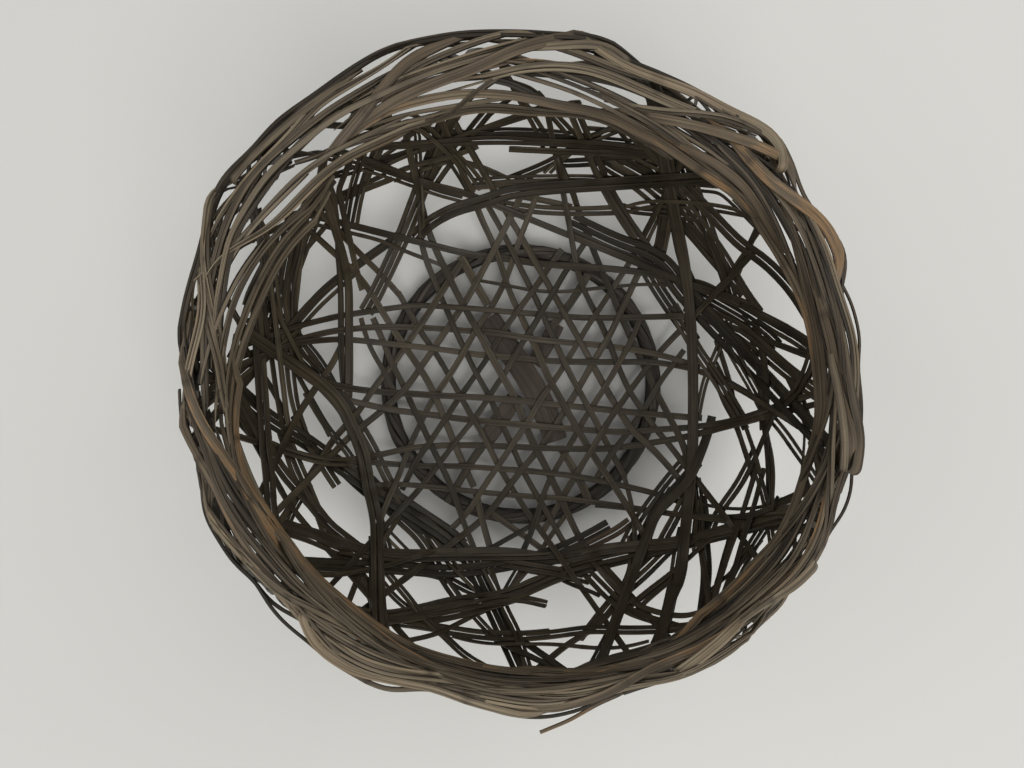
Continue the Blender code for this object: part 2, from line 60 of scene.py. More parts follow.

# ------------------------------------------------------------------ the weave on the plan sketch
# name, width, start and end run up into the rim, kind of colour, points.
# kinds: d dark (partly the splints' own darker tone, partly painted shade where they lie low under others), b brown, g
# grey, l light, r red-brown, w worn to tan
NAMED = [
    ("strip_across_1", 6.5, 1, 1, "b", [(350, 225), (370, 230), (398, 237), (440, 247), (468, 254), (510, 259), (540, 264), (600, 268), (640, 272), (680, 280), (703, 283), (722, 294)]),
    ("strip_across_2", 6.0, 1, 1, "b", [(278, 333), (301, 325), (319, 321), (338, 316), (353, 314), (378, 310), (400, 307), (420, 305), (450, 307), (480, 309), (510, 312), (540, 314), (570, 317), (600, 318), (650, 317), (700, 317), (742, 331)]),
    ("strip_across_3", 6.0, 1, 1, "b", [(262, 356), (276, 350), (295, 343), (314, 341), (338, 339), (365, 341), (400, 345), (430, 348), (460, 352), (490, 356), (520, 358), (550, 361), (600, 362), (650, 362), (680, 366), (700, 371), (720, 380), (745, 392), (762, 403)]),
    ("strip_across_4", 6.5, 1, 0, "b", [(262, 345), (280, 358), (300, 369), (320, 380), (342, 387), (370, 391), (400, 393), (430, 395), (470, 397), (490, 398), (520, 401), (560, 405), (600, 409), (640, 413), (686, 417), (702, 418)]),
    ("strip_across_5", 6.0, 0, 1, "b", [(334, 396), (346, 400), (370, 405), (390, 410), (410, 412), (440, 416), (470, 420), (500, 423), (550, 427), (600, 431), (630, 432), (660, 429), (686, 428), (735, 420), (787, 403)]),
    ("strip_across_6", 6.5, 1, 1, "b", [(270, 446), (290, 452), (322, 461), (345, 461), (365, 457), (385, 454), (403, 449), (430, 446), (460, 445), (500, 446), (540, 448), (600, 449), (630, 446), (650, 443), (686, 437), (720, 428), (752, 420)]),
    ("strip_across_7", 5.5, 0, 1, "b", [(370, 486), (400, 484), (450, 489), (480, 492), (510, 495), (540, 497), (570, 499), (640, 509), (660, 512), (690, 516), (748, 516), (790, 500)]),
    ("strip_rising_1", 6.5, 1, 0, "b", [(322, 457), (330, 444), (340, 431), (355, 417), (361, 408), (375, 386), (387, 371), (394, 364), (403, 351), (410, 339), (417, 330), (423, 321), (430, 311), (436, 301), (443, 290), (462, 262)]),
    ("strip_rising_2", 6.5, 1, 0, "b", [(327, 460), (333, 454), (340, 447), (350, 435), (363, 426), (380, 412), (390, 404), (400, 395), (409, 385), (420, 368), (431, 353), (437, 344), (445, 332), (453, 320), (460, 310), (466, 301), (472, 290), (479, 278), (484, 268), (489, 259), (495, 249), (500, 238), (506, 226), (531, 176)]),
    ("strip_rising_3", 6.0, 1, 0, "b", [(368, 552), (380, 521), (392, 490), (398, 478), (403, 465), (407, 452), (412, 440), (418, 430), (425, 413), (433, 399), (441, 388), (449, 376), (459, 361), (464, 352), (468, 343), (474, 334), (480, 322), (490, 311), (494, 303), (501, 290), (506, 280), (511, 266), (515, 254), (519, 240), (525, 226), (542, 180)]),
    ("strip_rising_4", 6.0, 1, 0, "b", [(381, 531), (405, 505), (424, 484), (437, 466), (451, 448), (463, 432), (476, 417), (490, 395), (501, 378), (509, 368), (520, 345), (528, 335), (535, 324), (541, 313), (547, 302), (554, 292), (561, 279), (567, 268), (576, 257), (583, 246), (591, 232)]),
    ("strip_rising_5", 6.0, 0, 1, "b", [(438, 541), (450, 530), (466, 515), (472, 507), (478, 495), (484, 487), (490, 477), (498, 466), (504, 458), (513, 443), (525, 427), (532, 416), (539, 401), (552, 384), (564, 366), (571, 354), (577, 344), (583, 334), (590, 322), (597, 313), (604, 302), (611, 291), (618, 280), (625, 270), (632, 258), (655, 214)]),
    ("strip_rising_6", 6.5, 1, 0, "b", [(427, 562), (455, 541), (468, 531), (480, 522), (488, 514), (497, 503), (505, 492), (512, 482), (519, 473), (527, 463), (540, 449), (549, 436), (560, 418), (571, 401), (578, 389), (585, 377), (591, 366), (598, 354), (606, 342), (612, 331), (617, 320), (622, 308), (627, 298), (632, 288), (637, 276), (642, 265), (648, 252)]),
    ("strip_rising_7", 6.0, 0, 1, "b", [(541, 535), (560, 502), (565, 493), (571, 483), (577, 474), (582, 465), (587, 456), (592, 449), (598, 440), (603, 430), (609, 420), (616, 410), (622, 403), (629, 392), (637, 381), (645, 371), (652, 360), (662, 350), (672, 338), (682, 329), (728, 280)]),
    ("strip_falling_1", 6.5, 1, 0, "b", [(344, 262), (356, 272), (365, 284), (374, 297), (380, 308), (386, 318), (392, 328), (398, 336), (403, 344), (411, 356), (420, 368), (429, 383), (433, 390), (438, 403), (443, 415), (447, 425), (452, 437), (457, 450), (462, 462), (467, 472), (474, 487)]),
    ("strip_falling_2", 6.0, 0, 1, "b", [(398, 292), (407, 308), (411, 314), (416, 324), (422, 334), (428, 343), (434, 350), (442, 363), (449, 376), (458, 391), (464, 403), (471, 416), (478, 426), (485, 438), (492, 453), (500, 469), (508, 482), (515, 492), (521, 503), (529, 515), (536, 524), (566, 566)]),
    ("strip_falling_3", 7.0, 1, 1, "b", [(417, 185), (425, 220), (429, 232), (434, 246), (440, 259), (446, 271), (451, 281), (456, 292), (462, 303), (468, 313), (474, 325), (480, 335), (486, 346), (492, 357), (503, 378), (512, 391), (516, 400), (521, 412), (525, 425), (530, 437), (537, 451), (544, 463), (550, 476), (556, 488), (562, 500), (567, 512), (574, 527), (580, 540), (598, 560)]),
    ("strip_falling_4", 6.5, 1, 0, "b", [(478, 210), (482, 222), (487, 230), (493, 243), (499, 258), (503, 272), (507, 285), (512, 298), (517, 308), (521, 316), (527, 328), (531, 338), (538, 351), (545, 371), (553, 386), (562, 401), (568, 413), (574, 423), (580, 434), (588, 447), (595, 458), (603, 470), (611, 481), (617, 490), (625, 503), (632, 514), (652, 548)]),
    ("strip_falling_5", 6.5, 1, 0, "b", [(497, 196), (512, 222), (519, 233), (525, 243), (531, 255), (539, 268), (545, 279), (551, 289), (557, 300), (563, 311), (571, 325), (579, 339), (586, 352), (592, 364), (598, 375), (605, 387), (611, 398), (618, 408), (624, 419), (630, 428), (638, 436), (650, 446), (660, 457), (670, 468), (690, 492)]),
    ("strip_falling_6", 6.0, 1, 1, "b", [(563, 192), (570, 228), (573, 248), (577, 270), (581, 283), (586, 295), (593, 308), (600, 321), (606, 335), (612, 349), (617, 364), (623, 377), (629, 392), (636, 401), (643, 411), (650, 421), (656, 430), (670, 445), (677, 455), (712, 500)]),
    ("strip_falling_7", 6.5, 0, 1, "b", [(577, 206), (591, 245), (596, 256), (600, 267), (605, 278), (610, 289), (616, 303), (622, 318), (628, 332), (635, 346), (643, 364), (649, 376), (655, 390), (661, 401), (667, 412), (672, 423), (686, 452), (697, 520)]),
    ("band_nw_tall", 15.0, 1, 0, "b", [(416, 202), (406, 228), (399, 245), (390, 265), (382, 282), (373, 300), (366, 312)]),
    ("band_nw_low", 6.5, 1, 1, "b", [(352, 155), (368, 160), (380, 165), (400, 173), (422, 182), (440, 187), (465, 193), (490, 203)]),
    ("band_n_cross", 13.0, 0, 1, "b", [(414, 238), (426, 225), (455, 209), (480, 203), (500, 195), (520, 191), (550, 188), (610, 184)]),
    ("band_ne_dark", 20.0, 0, 1, "d", [(571, 222), (594, 233), (620, 245), (645, 254), (665, 265), (675, 280), (684, 292), (699, 308)]),
    ("band_ne_steep", 12.5, 1, 0, "b", [(598, 169), (607, 190), (620, 211), (630, 228), (640, 240), (668, 286)]),
    ("band_e_upright", 11.0, 1, 1, "b", [(668, 182), (676, 222), (684, 262), (690, 310), (692, 345), (693, 380), (693, 431), (692, 459), (689, 495), (687, 516), (684, 540), (680, 580), (671, 595), (662, 634)]),
    ("band_e_slant", 12.0, 1, 1, "b", [(717, 220), (742, 246), (761, 258), (784, 280), (799, 300), (812, 322)]),
    ("band_se_cut", 9.0, 0, 1, "b", [(712, 416), (708, 435), (702, 449), (697, 463), (690, 480), (681, 490), (669, 500), (657, 512), (650, 527), (646, 539)]),
    ("band_s_low", 10.5, 1, 1, "b", [(350, 545), (373, 552), (401, 554), (440, 554), (491, 552), (530, 555), (560, 560), (604, 549), (640, 546), (678, 543), (730, 528)]),
    ("band_s_cut", 13.0, 0, 1, "d", [(609, 525), (591, 535), (566, 547), (540, 557), (500, 566), (450, 571), (400, 568), (375, 567)]),
    ("band_sw_dark", 16.0, 1, 1, "d", [(250, 402), (267, 417), (288, 430), (306, 441), (340, 466), (370, 485), (404, 506), (423, 519), (450, 537), (470, 560), (486, 593)]),
    ("band_sw_upright", 12.0, 1, 1, "b", [(261, 380), (264, 422), (265, 444), (269, 470), (270, 495), (272, 515), (276, 527), (285, 548)]),
    ("band_sw_steep", 12.5, 1, 1, "b", [(300, 369), (322, 384), (340, 402), (353, 430), (363, 452), (369, 489), (376, 515), (377, 552), (377, 583), (378, 613)]),
    ("band_s_rim", 14.0, 1, 1, "b", [(340, 612), (375, 618), (400, 616), (440, 607), (475, 601), (500, 598), (529, 588), (550, 578), (580, 568), (612, 560)]),
    ("band_w_upright", 8.5, 1, 0, "b", [(333, 222), (340, 245), (345, 262), (349, 285), (349, 310), (349, 340), (349, 380), (348, 400)]),
    ("band_w_sweep", 9.0, 1, 0, "b", [(300, 317), (312, 303), (322, 292), (340, 277), (359, 264), (378, 250), (395, 239), (404, 230)]),
]

LOOSE = {  # further splints by the part of the basket they belong to: width, start up, end up, kind, points
    "floor_across": [
        (4.0, 1, 0, "b", [(355, 234), (372, 238), (388, 243), (404, 251), (423, 258), (442, 265), (450, 269)]),
        (3.5, 0, 0, "b", [(470, 279), (500, 284), (530, 290), (560, 292), (590, 289), (620, 286), (650, 284), (672, 285)]),
        (6.0, 1, 0, "b", [(287, 343), (301, 339), (319, 334), (338, 330), (355, 329), (370, 327), (400, 327), (430, 328), (470, 331), (500, 333), (520, 337), (560, 342), (600, 345), (640, 351), (665, 356), (700, 367)]),
        (6.0, 0, 0, "b", [(327, 459), (359, 461), (381, 463), (404, 465), (430, 466), (460, 466), (500, 469), (530, 471), (575, 476), (595, 480), (615, 484), (650, 492), (670, 498), (688, 505)]),
        (5.5, 0, 1, "b", [(595, 505), (620, 507), (640, 510), (660, 512), (690, 516), (705, 518)]),
    ],
    "floor_rising": [
        (6.0, 0, 0, "b", [(402, 490), (408, 478), (414, 463), (420, 455), (428, 446), (433, 437), (441, 425), (447, 417), (455, 403), (465, 390), (476, 374), (487, 359), (495, 345), (506, 327), (512, 318), (519, 309), (526, 300), (533, 291), (541, 279), (549, 267), (556, 257), (562, 249)]),
        (8.0, 0, 0, "b", [(588, 274), (583, 283), (578, 292), (571, 303), (564, 312), (557, 320), (550, 329)]),
        (6.0, 0, 0, "b", [(519, 560), (528, 540), (536, 520), (541, 502), (546, 486), (551, 477), (557, 467), (563, 457), (568, 448), (573, 440), (578, 430), (585, 418), (592, 407), (598, 398), (605, 387), (612, 376), (618, 365), (624, 354), (629, 345), (634, 335), (638, 325), (641, 315)]),
        (6.0, 0, 0, "b", [(595, 482), (600, 472), (606, 463), (610, 455), (617, 446), (625, 437), (631, 428), (643, 410), (650, 400), (655, 390), (661, 380), (668, 371), (675, 362), (684, 350)]),
        (8.0, 0, 0, "b", [(482, 447), (475, 455), (468, 467), (462, 478), (456, 487), (447, 503)]),
        (5.0, 0, 0, "b", [(488, 550), (505, 540), (520, 532), (536, 523), (551, 511)]),
        (5.0, 0, 0, "b", [(533, 562), (546, 543), (556, 528), (568, 512)]),
    ],
    "floor_falling": [
        (6.0, 0, 0, "b", [(373, 318), (377, 327), (386, 348), (392, 364), (399, 377), (406, 390), (410, 402), (416, 413), (423, 427), (429, 441), (436, 455), (442, 467), (449, 481), (456, 500), (463, 521), (474, 548)]),
        (5.0, 0, 0, "b", [(361, 318), (364, 331), (368, 342), (372, 352), (380, 365), (385, 372), (391, 384), (396, 397)]),
        (6.0, 0, 0, "b", [(421, 195), (421, 225), (420, 238), (423, 250), (427, 263), (432, 275), (437, 287), (441, 297), (446, 308), (450, 317), (455, 330), (460, 340), (466, 352), (471, 363), (476, 374), (484, 386), (490, 397), (495, 410), (502, 425), (510, 441), (516, 455), (522, 469), (530, 484), (537, 496), (545, 508), (551, 520), (558, 533), (568, 549)]),
        (8.0, 0, 0, "b", [(460, 256), (468, 269), (474, 281), (480, 292), (488, 305)]),
        (6.0, 0, 0, "b", [(487, 204), (496, 220), (500, 227), (507, 240), (513, 253), (520, 267), (527, 281), (534, 295), (540, 307), (544, 318), (549, 329), (555, 341), (560, 353), (566, 366), (572, 378), (578, 389), (586, 403), (593, 416), (599, 427), (605, 441), (613, 454), (619, 467), (625, 478)]),
        (8.0, 0, 0, "b", [(560, 447), (572, 466), (578, 477), (585, 490), (590, 505)]),
        (6.5, 0, 0, "b", [(476, 492), (479, 508), (483, 523), (490, 548)]),
        (6.0, 0, 0, "b", [(488, 510), (505, 523), (520, 533), (545, 551)]),
        (6.0, 1, 0, "b", [(344, 237), (363, 257), (378, 271), (391, 285), (401, 297)]),
    ],
    "wall_north": [
        (7.0, 0, 1, "b", [(345, 230), (347, 210), (351, 191), (356, 173), (362, 156)]),
        (8.0, 0, 1, "b", [(354, 229), (357, 209), (361, 191), (367, 173), (375, 154)]),
        (6.0, 0, 1, "g", [(362, 190), (368, 176), (374, 163), (382, 146)]),
        (5.0, 1, 0, "b", [(318, 206), (332, 198), (348, 191), (365, 184), (386, 174)]),
        (5.5, 1, 0, "b", [(317, 212), (330, 205), (347, 197), (366, 189), (392, 179)]),
        (9.0, 0, 1, "d", [(556, 163), (575, 163), (600, 161), (630, 160), (660, 162)]),
        (6.0, 0, 0, "b", [(518, 196), (535, 199), (552, 202), (572, 207)]),
        (7.0, 1, 0, "b", [(372, 170), (385, 174), (401, 180), (420, 187), (440, 194), (462, 199)]),
        (7.0, 0, 1, "b", [(472, 182), (510, 179), (550, 178), (590, 178), (640, 182)]),
        (5.0, 0, 1, "g", [(466, 188), (510, 185), (556, 184), (600, 183)]),
        (3.0, 1, 0, "b", [(417, 176), (418, 200), (420, 238)]),
        (3.0, 1, 0, "b", [(421, 170), (422, 195), (424, 238)]),
        (4.0, 0, 1, "g", [(372, 165), (378, 160), (404, 142), (411, 135)]),
        (5.0, 0, 1, "b", [(376, 164), (381, 161), (401, 155), (427, 147), (440, 143)]),
        (5.0, 0, 0, "b", [(392, 174), (401, 170), (422, 163), (442, 159), (466, 152), (478, 146)]),
        (3.5, 0, 0, "g", [(394, 181), (404, 176), (424, 169), (446, 163), (458, 159)]),
        (3.5, 0, 1, "g", [(378, 170), (396, 160), (420, 151)]),
        (3.0, 1, 0, "b", [(446, 127), (437, 140), (430, 158), (423, 179), (421, 195), (424, 238)]),
        (3.0, 1, 0, "b", [(451, 129), (441, 143), (434, 161), (427, 180), (424, 197)]),
        (4.0, 1, 0, "b", [(421, 131), (440, 150), (456, 172), (468, 192)]),
        (4.0, 1, 0, "b", [(430, 137), (450, 155), (465, 175), (474, 192)]),
        (4.0, 1, 0, "g", [(440, 140), (458, 158), (472, 178), (480, 190)]),
        (4.0, 1, 0, "b", [(450, 147), (466, 162), (480, 178), (486, 188)]),
        (5.0, 0, 1, "b", [(430, 182), (440, 165), (446, 155), (460, 142), (468, 130), (485, 110)]),
        (5.0, 0, 1, "b", [(437, 183), (448, 167), (462, 150), (475, 132), (485, 120)]),
        (6.0, 0, 1, "b", [(509, 149), (550, 151), (600, 153), (640, 155), (680, 158)]),
        (3.5, 0, 0, "g", [(450, 158), (460, 161), (478, 164), (497, 173), (510, 179)]),
        (3.5, 0, 0, "g", [(452, 160), (466, 163), (482, 169), (500, 178)]),
        (4.0, 0, 1, "b", [(509, 177), (530, 169), (550, 160), (560, 155), (580, 140), (600, 132), (622, 126)]),
        (4.0, 0, 1, "b", [(515, 180), (536, 172), (556, 163), (572, 151), (590, 140)]),
        (3.2, 0, 1, "g", [(544, 173), (560, 158), (581, 141), (602, 132), (622, 127)]),
        (3.2, 0, 1, "g", [(550, 173), (566, 157), (588, 143), (605, 137), (622, 130)]),
        (4.5, 1, 0, "b", [(528, 116), (536, 130), (544, 150)]),
        (4.5, 1, 0, "b", [(534, 116), (544, 131), (554, 150)]),
        (4.5, 1, 0, "b", [(551, 116), (567, 134), (580, 152)]),
        (4.5, 1, 0, "b", [(558, 116), (577, 136), (592, 153)]),
        (7.0, 1, 1, "d", [(440, 143), (460, 137), (500, 131), (540, 132), (580, 136), (600, 140), (640, 143), (665, 148)]),
        (8.0, 1, 1, "b", [(460, 142), (500, 140), (560, 143), (600, 145), (640, 150), (670, 158)]),
        (6.0, 1, 1, "b", [(450, 132), (470, 134), (510, 136), (560, 140), (610, 146)]),
        (5.0, 0, 1, "b", [(584, 128), (600, 129), (620, 131), (640, 137), (660, 144), (680, 155), (695, 165)]),
        (6.0, 0, 0, "b", [(552, 146), (561, 164), (567, 182), (575, 195), (577, 206)]),
        (4.5, 0, 0, "b", [(586, 155), (603, 168), (627, 182), (645, 197), (650, 201), (664, 214)]),
        (4.5, 0, 0, "b", [(594, 155), (612, 167), (632, 178), (652, 192), (660, 200), (672, 211)]),
        (4.5, 0, 0, "g", [(601, 154), (617, 165), (639, 177), (663, 193), (680, 206)]),
        (4.0, 0, 0, "b", [(606, 152), (618, 160), (630, 165), (666, 187), (684, 200)]),
        (4.0, 0, 0, "b", [(610, 150), (622, 158), (635, 164), (667, 181), (690, 196)]),
        (4.0, 0, 0, "g", [(616, 148), (630, 156), (645, 163), (668, 175), (694, 190)]),
        (5.0, 1, 0, "b", [(664, 170), (667, 182), (664, 200), (660, 225), (656, 250), (653, 262)]),
        (5.0, 1, 0, "b", [(668, 170), (672, 180), (668, 200), (664, 225), (660, 250), (658, 262)]),
        (5.0, 1, 0, "g", [(673, 170), (677, 182), (673, 200), (669, 225), (664, 250)]),
        (4.0, 0, 0, "b", [(665, 206), (655, 225), (646, 245), (640, 256)]),
        (4.0, 0, 0, "b", [(668, 212), (658, 240), (654, 250), (648, 264)]),
        (4.0, 0, 0, "b", [(672, 215), (668, 235), (664, 255), (660, 270)]),
        (10.0, 0, 0, "b", [(490, 202), (500, 205), (530, 209), (560, 211), (590, 211), (620, 210)]),
        (3.5, 0, 1, "g", [(618, 210), (625, 207), (639, 202), (658, 201), (684, 202), (709, 204), (730, 208)]),
        (3.5, 0, 1, "g", [(620, 215), (630, 211), (645, 207), (662, 206), (688, 208), (712, 210), (734, 214)]),
        (8.0, 0, 0, "b", [(618, 206), (626, 210), (661, 213), (671, 215), (700, 219)]),
        (5.0, 0, 0, "b", [(658, 203), (674, 220), (690, 236), (709, 259), (730, 282), (742, 296)]),
        (5.0, 0, 0, "b", [(665, 202), (681, 220), (697, 238), (720, 267), (730, 280)]),
        (5.0, 0, 0, "b", [(688, 222), (697, 233), (709, 247), (722, 265)]),
        (8.0, 1, 0, "b", [(670, 206), (674, 226), (680, 254), (684, 267), (694, 286)]),
        (12.0, 1, 0, "b", [(689, 175), (700, 205), (712, 240), (725, 275), (732, 300)]),
        (6.0, 0, 0, "b", [(587, 154), (597, 173), (612, 200), (625, 220), (636, 238)]),
    ],
    "wall_east": [
        (12.0, 0, 0, "d", [(692, 288), (708, 298), (728, 309), (748, 321), (766, 334), (778, 346)]),
        (4.0, 1, 0, "b", [(692, 224), (702, 237), (723, 262), (735, 280), (755, 303), (760, 312)]),
        (4.0, 1, 0, "g", [(696, 221), (706, 234), (723, 258), (734, 277), (746, 296), (757, 310)]),
        (4.0, 1, 0, "b", [(700, 218), (710, 231), (728, 256), (738, 275), (750, 295), (762, 311)]),
        (6.0, 0, 1, "b", [(735, 280), (742, 262), (752, 240)]),
        (4.0, 0, 1, "b", [(715, 290), (726, 280), (738, 262)]),
        (8.0, 0, 0, "b", [(678, 281), (690, 285), (720, 295), (750, 305), (761, 313)]),
        (4.0, 0, 1, "b", [(755, 310), (761, 313), (780, 322), (799, 333), (812, 342)]),
        (4.0, 0, 1, "g", [(752, 311), (760, 317), (774, 325), (793, 335), (807, 346)]),
        (4.0, 0, 1, "b", [(757, 320), (770, 330), (787, 338), (806, 351)]),
        (15.0, 0, 1, "b", [(686, 304), (699, 310), (723, 323), (742, 331), (761, 348), (780, 365), (799, 380), (817, 393)]),
        (12.0, 0, 0, "b", [(672, 306), (680, 320), (700, 355), (715, 375), (730, 400), (742, 420)]),
        (7.0, 0, 0, "b", [(730, 318), (728, 325), (723, 335), (715, 357), (707, 374), (702, 393), (697, 420)]),
        (2.6, 0, 0, "g", [(718, 334), (723, 343), (735, 365), (748, 387), (758, 406), (764, 420)]),
        (2.6, 0, 0, "b", [(722, 333), (727, 341), (739, 363), (752, 386), (762, 405)]),
        (2.6, 0, 0, "g", [(726, 331), (731, 339), (743, 361), (756, 385), (765, 402)]),
        (5.0, 0, 0, "b", [(716, 340), (721, 353), (726, 371), (731, 384), (733, 398)]),
        (6.0, 0, 0, "b", [(716, 374), (731, 384), (748, 393), (761, 402), (774, 412)]),
        (5.0, 0, 0, "b", [(744, 314), (748, 325), (753, 344), (758, 365), (760, 387), (761, 403), (762, 430)]),
        (6.0, 0, 0, "b", [(754, 320), (758, 333), (762, 349), (765, 367), (767, 387), (766, 406), (765, 425)]),
        (14.0, 0, 0, "d", [(648, 272), (655, 285), (672, 310), (680, 320), (694, 342)]),
        (9.0, 0, 0, "b", [(687, 457), (671, 475), (658, 491), (646, 508), (632, 528), (624, 545)]),
        (10.0, 0, 0, "d", [(699, 462), (681, 483), (669, 495), (657, 509), (650, 527), (644, 546)]),
        (10.0, 0, 0, "b", [(620, 547), (646, 545), (671, 543), (688, 539), (704, 536)]),
        (3.2, 0, 0, "g", [(694, 541), (705, 537), (722, 532), (738, 526), (755, 519), (762, 512)]),
        (3.2, 0, 0, "b", [(692, 547), (705, 543), (725, 537), (742, 531), (758, 524)]),
        (3.5, 0, 1, "b", [(690, 502), (702, 504), (720, 508), (735, 509), (760, 508), (790, 496)]),
        (3.5, 0, 1, "g", [(694, 519), (705, 518), (729, 518), (748, 516), (761, 515)]),
        (9.0, 0, 0, "b", [(757, 448), (749, 464), (742, 479), (729, 498), (717, 513), (710, 530)]),
        (5.0, 0, 0, "b", [(733, 415), (738, 430), (745, 452), (749, 463), (754, 480)]),
        (12.0, 0, 0, "b", [(712, 364), (720, 380), (730, 406), (738, 417), (744, 430)]),
        (4.0, 0, 0, "b", [(728, 408), (733, 420), (741, 440), (748, 460), (753, 476)]),
        (4.0, 0, 0, "g", [(740, 412), (745, 425), (752, 445), (757, 460), (760, 474)]),
        (5.0, 0, 0, "b", [(752, 466), (758, 452), (762, 440), (770, 425), (775, 410), (786, 392)]),
        (8.0, 0, 1, "d", [(704, 432), (720, 427), (735, 422), (755, 417), (769, 411), (787, 403), (799, 391), (805, 380)]),
        (4.5, 0, 0, "b", [(761, 372), (765, 399), (764, 415), (766, 434), (771, 452), (773, 470), (771, 489), (770, 508)]),
        (3.0, 0, 0, "g", [(764, 420), (766, 434), (772, 455), (774, 480), (772, 502), (776, 530)]),
        (4.0, 0, 0, "b", [(760, 400), (762, 415), (766, 440), (768, 470), (768, 500), (766, 520)]),
        (3.2, 0, 1, "b", [(766, 416), (771, 422), (780, 431), (790, 447), (799, 459), (810, 475)]),
        (3.2, 0, 1, "g", [(770, 412), (776, 419), (786, 430), (796, 445), (804, 457)]),
        (2.2, 0, 0, "b", [(797, 386), (801, 406), (805, 431), (803, 457), (802, 470), (800, 486)]),
        (10.0, 0, 1, "b", [(790, 376), (799, 393), (806, 418), (813, 436), (820, 450)]),
        (8.0, 0, 1, "d", [(697, 478), (699, 495), (702, 515), (703, 534), (704, 556), (705, 580), (702, 604)]),
        (5.0, 0, 1, "b", [(757, 466), (752, 483), (745, 505), (738, 528), (728, 555), (720, 580), (712, 608)]),
        (5.0, 0, 1, "b", [(764, 468), (760, 483), (753, 510), (746, 530), (740, 550), (733, 575), (726, 600)]),
        (12.0, 0, 1, "d", [(782, 498), (773, 515), (761, 531), (748, 553), (735, 572), (728, 592)]),
        (7.0, 0, 1, "b", [(753, 462), (760, 480), (767, 508), (771, 534), (773, 550), (778, 574)]),
        (4.0, 0, 0, "b", [(631, 536), (632, 552), (634, 572), (633, 588)]),
        (2.6, 0, 0, "g", [(628, 584), (637, 576), (648, 566), (662, 552), (672, 540)]),
        (2.6, 0, 0, "b", [(632, 588), (641, 580), (653, 569), (667, 555)]),
        (2.6, 0, 0, "b", [(624, 580), (633, 572), (644, 562), (657, 549)]),
        (4.5, 0, 0, "b", [(618, 614), (633, 603), (648, 590), (662, 580), (678, 567), (692, 556), (702, 545), (720, 530), (734, 520)]),
        (4.0, 0, 0, "b", [(708, 592), (723, 580), (735, 568), (748, 557), (762, 540)]),
                (9.0, 1, 0, "b", [(812, 352), (806, 372), (796, 392), (782, 405), (768, 413)]),
    ],
    "wall_west": [
        (5.0, 0, 1, "b", [(345, 274), (322, 292), (308, 303), (298, 316), (284, 332), (268, 347), (252, 361)]),
        (4.0, 0, 1, "g", [(358, 272), (345, 283), (335, 293), (322, 304), (312, 315), (304, 324), (290, 338), (272, 352), (255, 366)]),
        (6.0, 1, 0, "b", [(335, 208), (338, 230), (338, 250), (340, 275), (341, 300), (341, 340), (342, 370), (344, 388)]),
        (6.0, 1, 0, "b", [(342, 206), (345, 220), (350, 240), (353, 255), (356, 268), (362, 290)]),
        (17.0, 1, 0, "d", [(306, 366), (322, 381), (340, 400), (347, 410), (353, 420), (357, 434)]),
        (12.0, 0, 0, "d", [(349, 412), (355, 435), (363, 452), (365, 470), (369, 489), (376, 515), (382, 534), (388, 555)]),
        (10.0, 0, 0, "b", [(350, 408), (358, 422), (365, 435), (373, 447), (379, 462), (386, 476), (395, 493), (404, 504), (416, 522)]),
        (6.5, 0, 1, "b", [(346, 336), (340, 349), (332, 365), (322, 379), (310, 396), (301, 410), (295, 420), (290, 431), (280, 452)]),
        (7.0, 1, 0, "u", [(296, 332), (306, 343), (317, 356), (326, 370), (334, 384), (340, 396)]),
        (7.0, 1, 0, "u", [(293, 336), (303, 347), (311, 360), (320, 374), (330, 390), (336, 402)]),
        (5.0, 1, 0, "b", [(258, 340), (261, 365), (264, 390), (267, 415), (270, 440)]),
        (5.0, 1, 0, "b", [(268, 334), (272, 360), (276, 390), (281, 420), (286, 440)]),
        (5.0, 1, 0, "g", [(278, 342), (281, 367), (285, 400), (287, 420), (292, 436)]),
        (4.0, 1, 0, "b", [(284, 342), (287, 367), (290, 395), (297, 420), (302, 434)]),
        (4.0, 1, 0, "b", [(290, 344), (293, 367), (296, 395), (300, 415), (306, 430)]),
        (5.0, 0, 0, "b", [(290, 360), (297, 374), (308, 393), (314, 406), (322, 420), (330, 436)]),
        (8.0, 1, 0, "b", [(305, 208), (303, 225), (301, 245), (297, 262), (291, 285), (290, 310), (292, 335), (296, 352)]),
        (4.0, 1, 0, "g", [(308, 212), (306, 228), (301, 258), (299, 281), (296, 302), (295, 323)]),
        (7.0, 1, 0, "b", [(322, 206), (317, 220), (311, 235), (304, 252), (301, 262), (294, 280)]),
        (5.0, 0, 0, "b", [(336, 213), (325, 227), (313, 241), (302, 254), (291, 268)]),
        (10.0, 1, 0, "b", [(296, 250), (292, 269), (291, 302), (294, 326), (300, 348)]),
        (10.0, 1, 0, "d", [(280, 266), (276, 281), (274, 297), (269, 312), (263, 335), (258, 348), (254, 372)]),
        (8.0, 1, 0, "b", [(290, 250), (286, 265), (281, 297), (276, 316), (270, 330), (262, 345), (257, 366)]),
        (8.0, 0, 0, "b", [(262, 440), (270, 444), (288, 452), (311, 458), (322, 462), (359, 462)]),
        (10.0, 0, 0, "b", [(295, 415), (300, 427), (308, 441), (319, 457), (329, 474), (337, 486)]),
        (7.0, 0, 0, "b", [(306, 392), (314, 406), (322, 420), (332, 435), (342, 444), (355, 463), (364, 480)]),
        (11.0, 1, 0, "b", [(262, 438), (270, 452), (282, 470), (292, 483), (304, 495), (317, 509), (327, 525), (340, 534), (353, 544), (365, 553), (378, 567)]),
        (6.0, 1, 1, "b", [(268, 466), (276, 480), (286, 500), (296, 513), (311, 531), (319, 539), (332, 554)]),
        (9.0, 0, 0, "b", [(287, 438), (292, 450), (298, 464), (306, 483), (314, 502), (322, 521), (329, 545)]),
        (8.0, 0, 0, "b", [(281, 432), (286, 446), (291, 462), (296, 477), (306, 491), (314, 506)]),
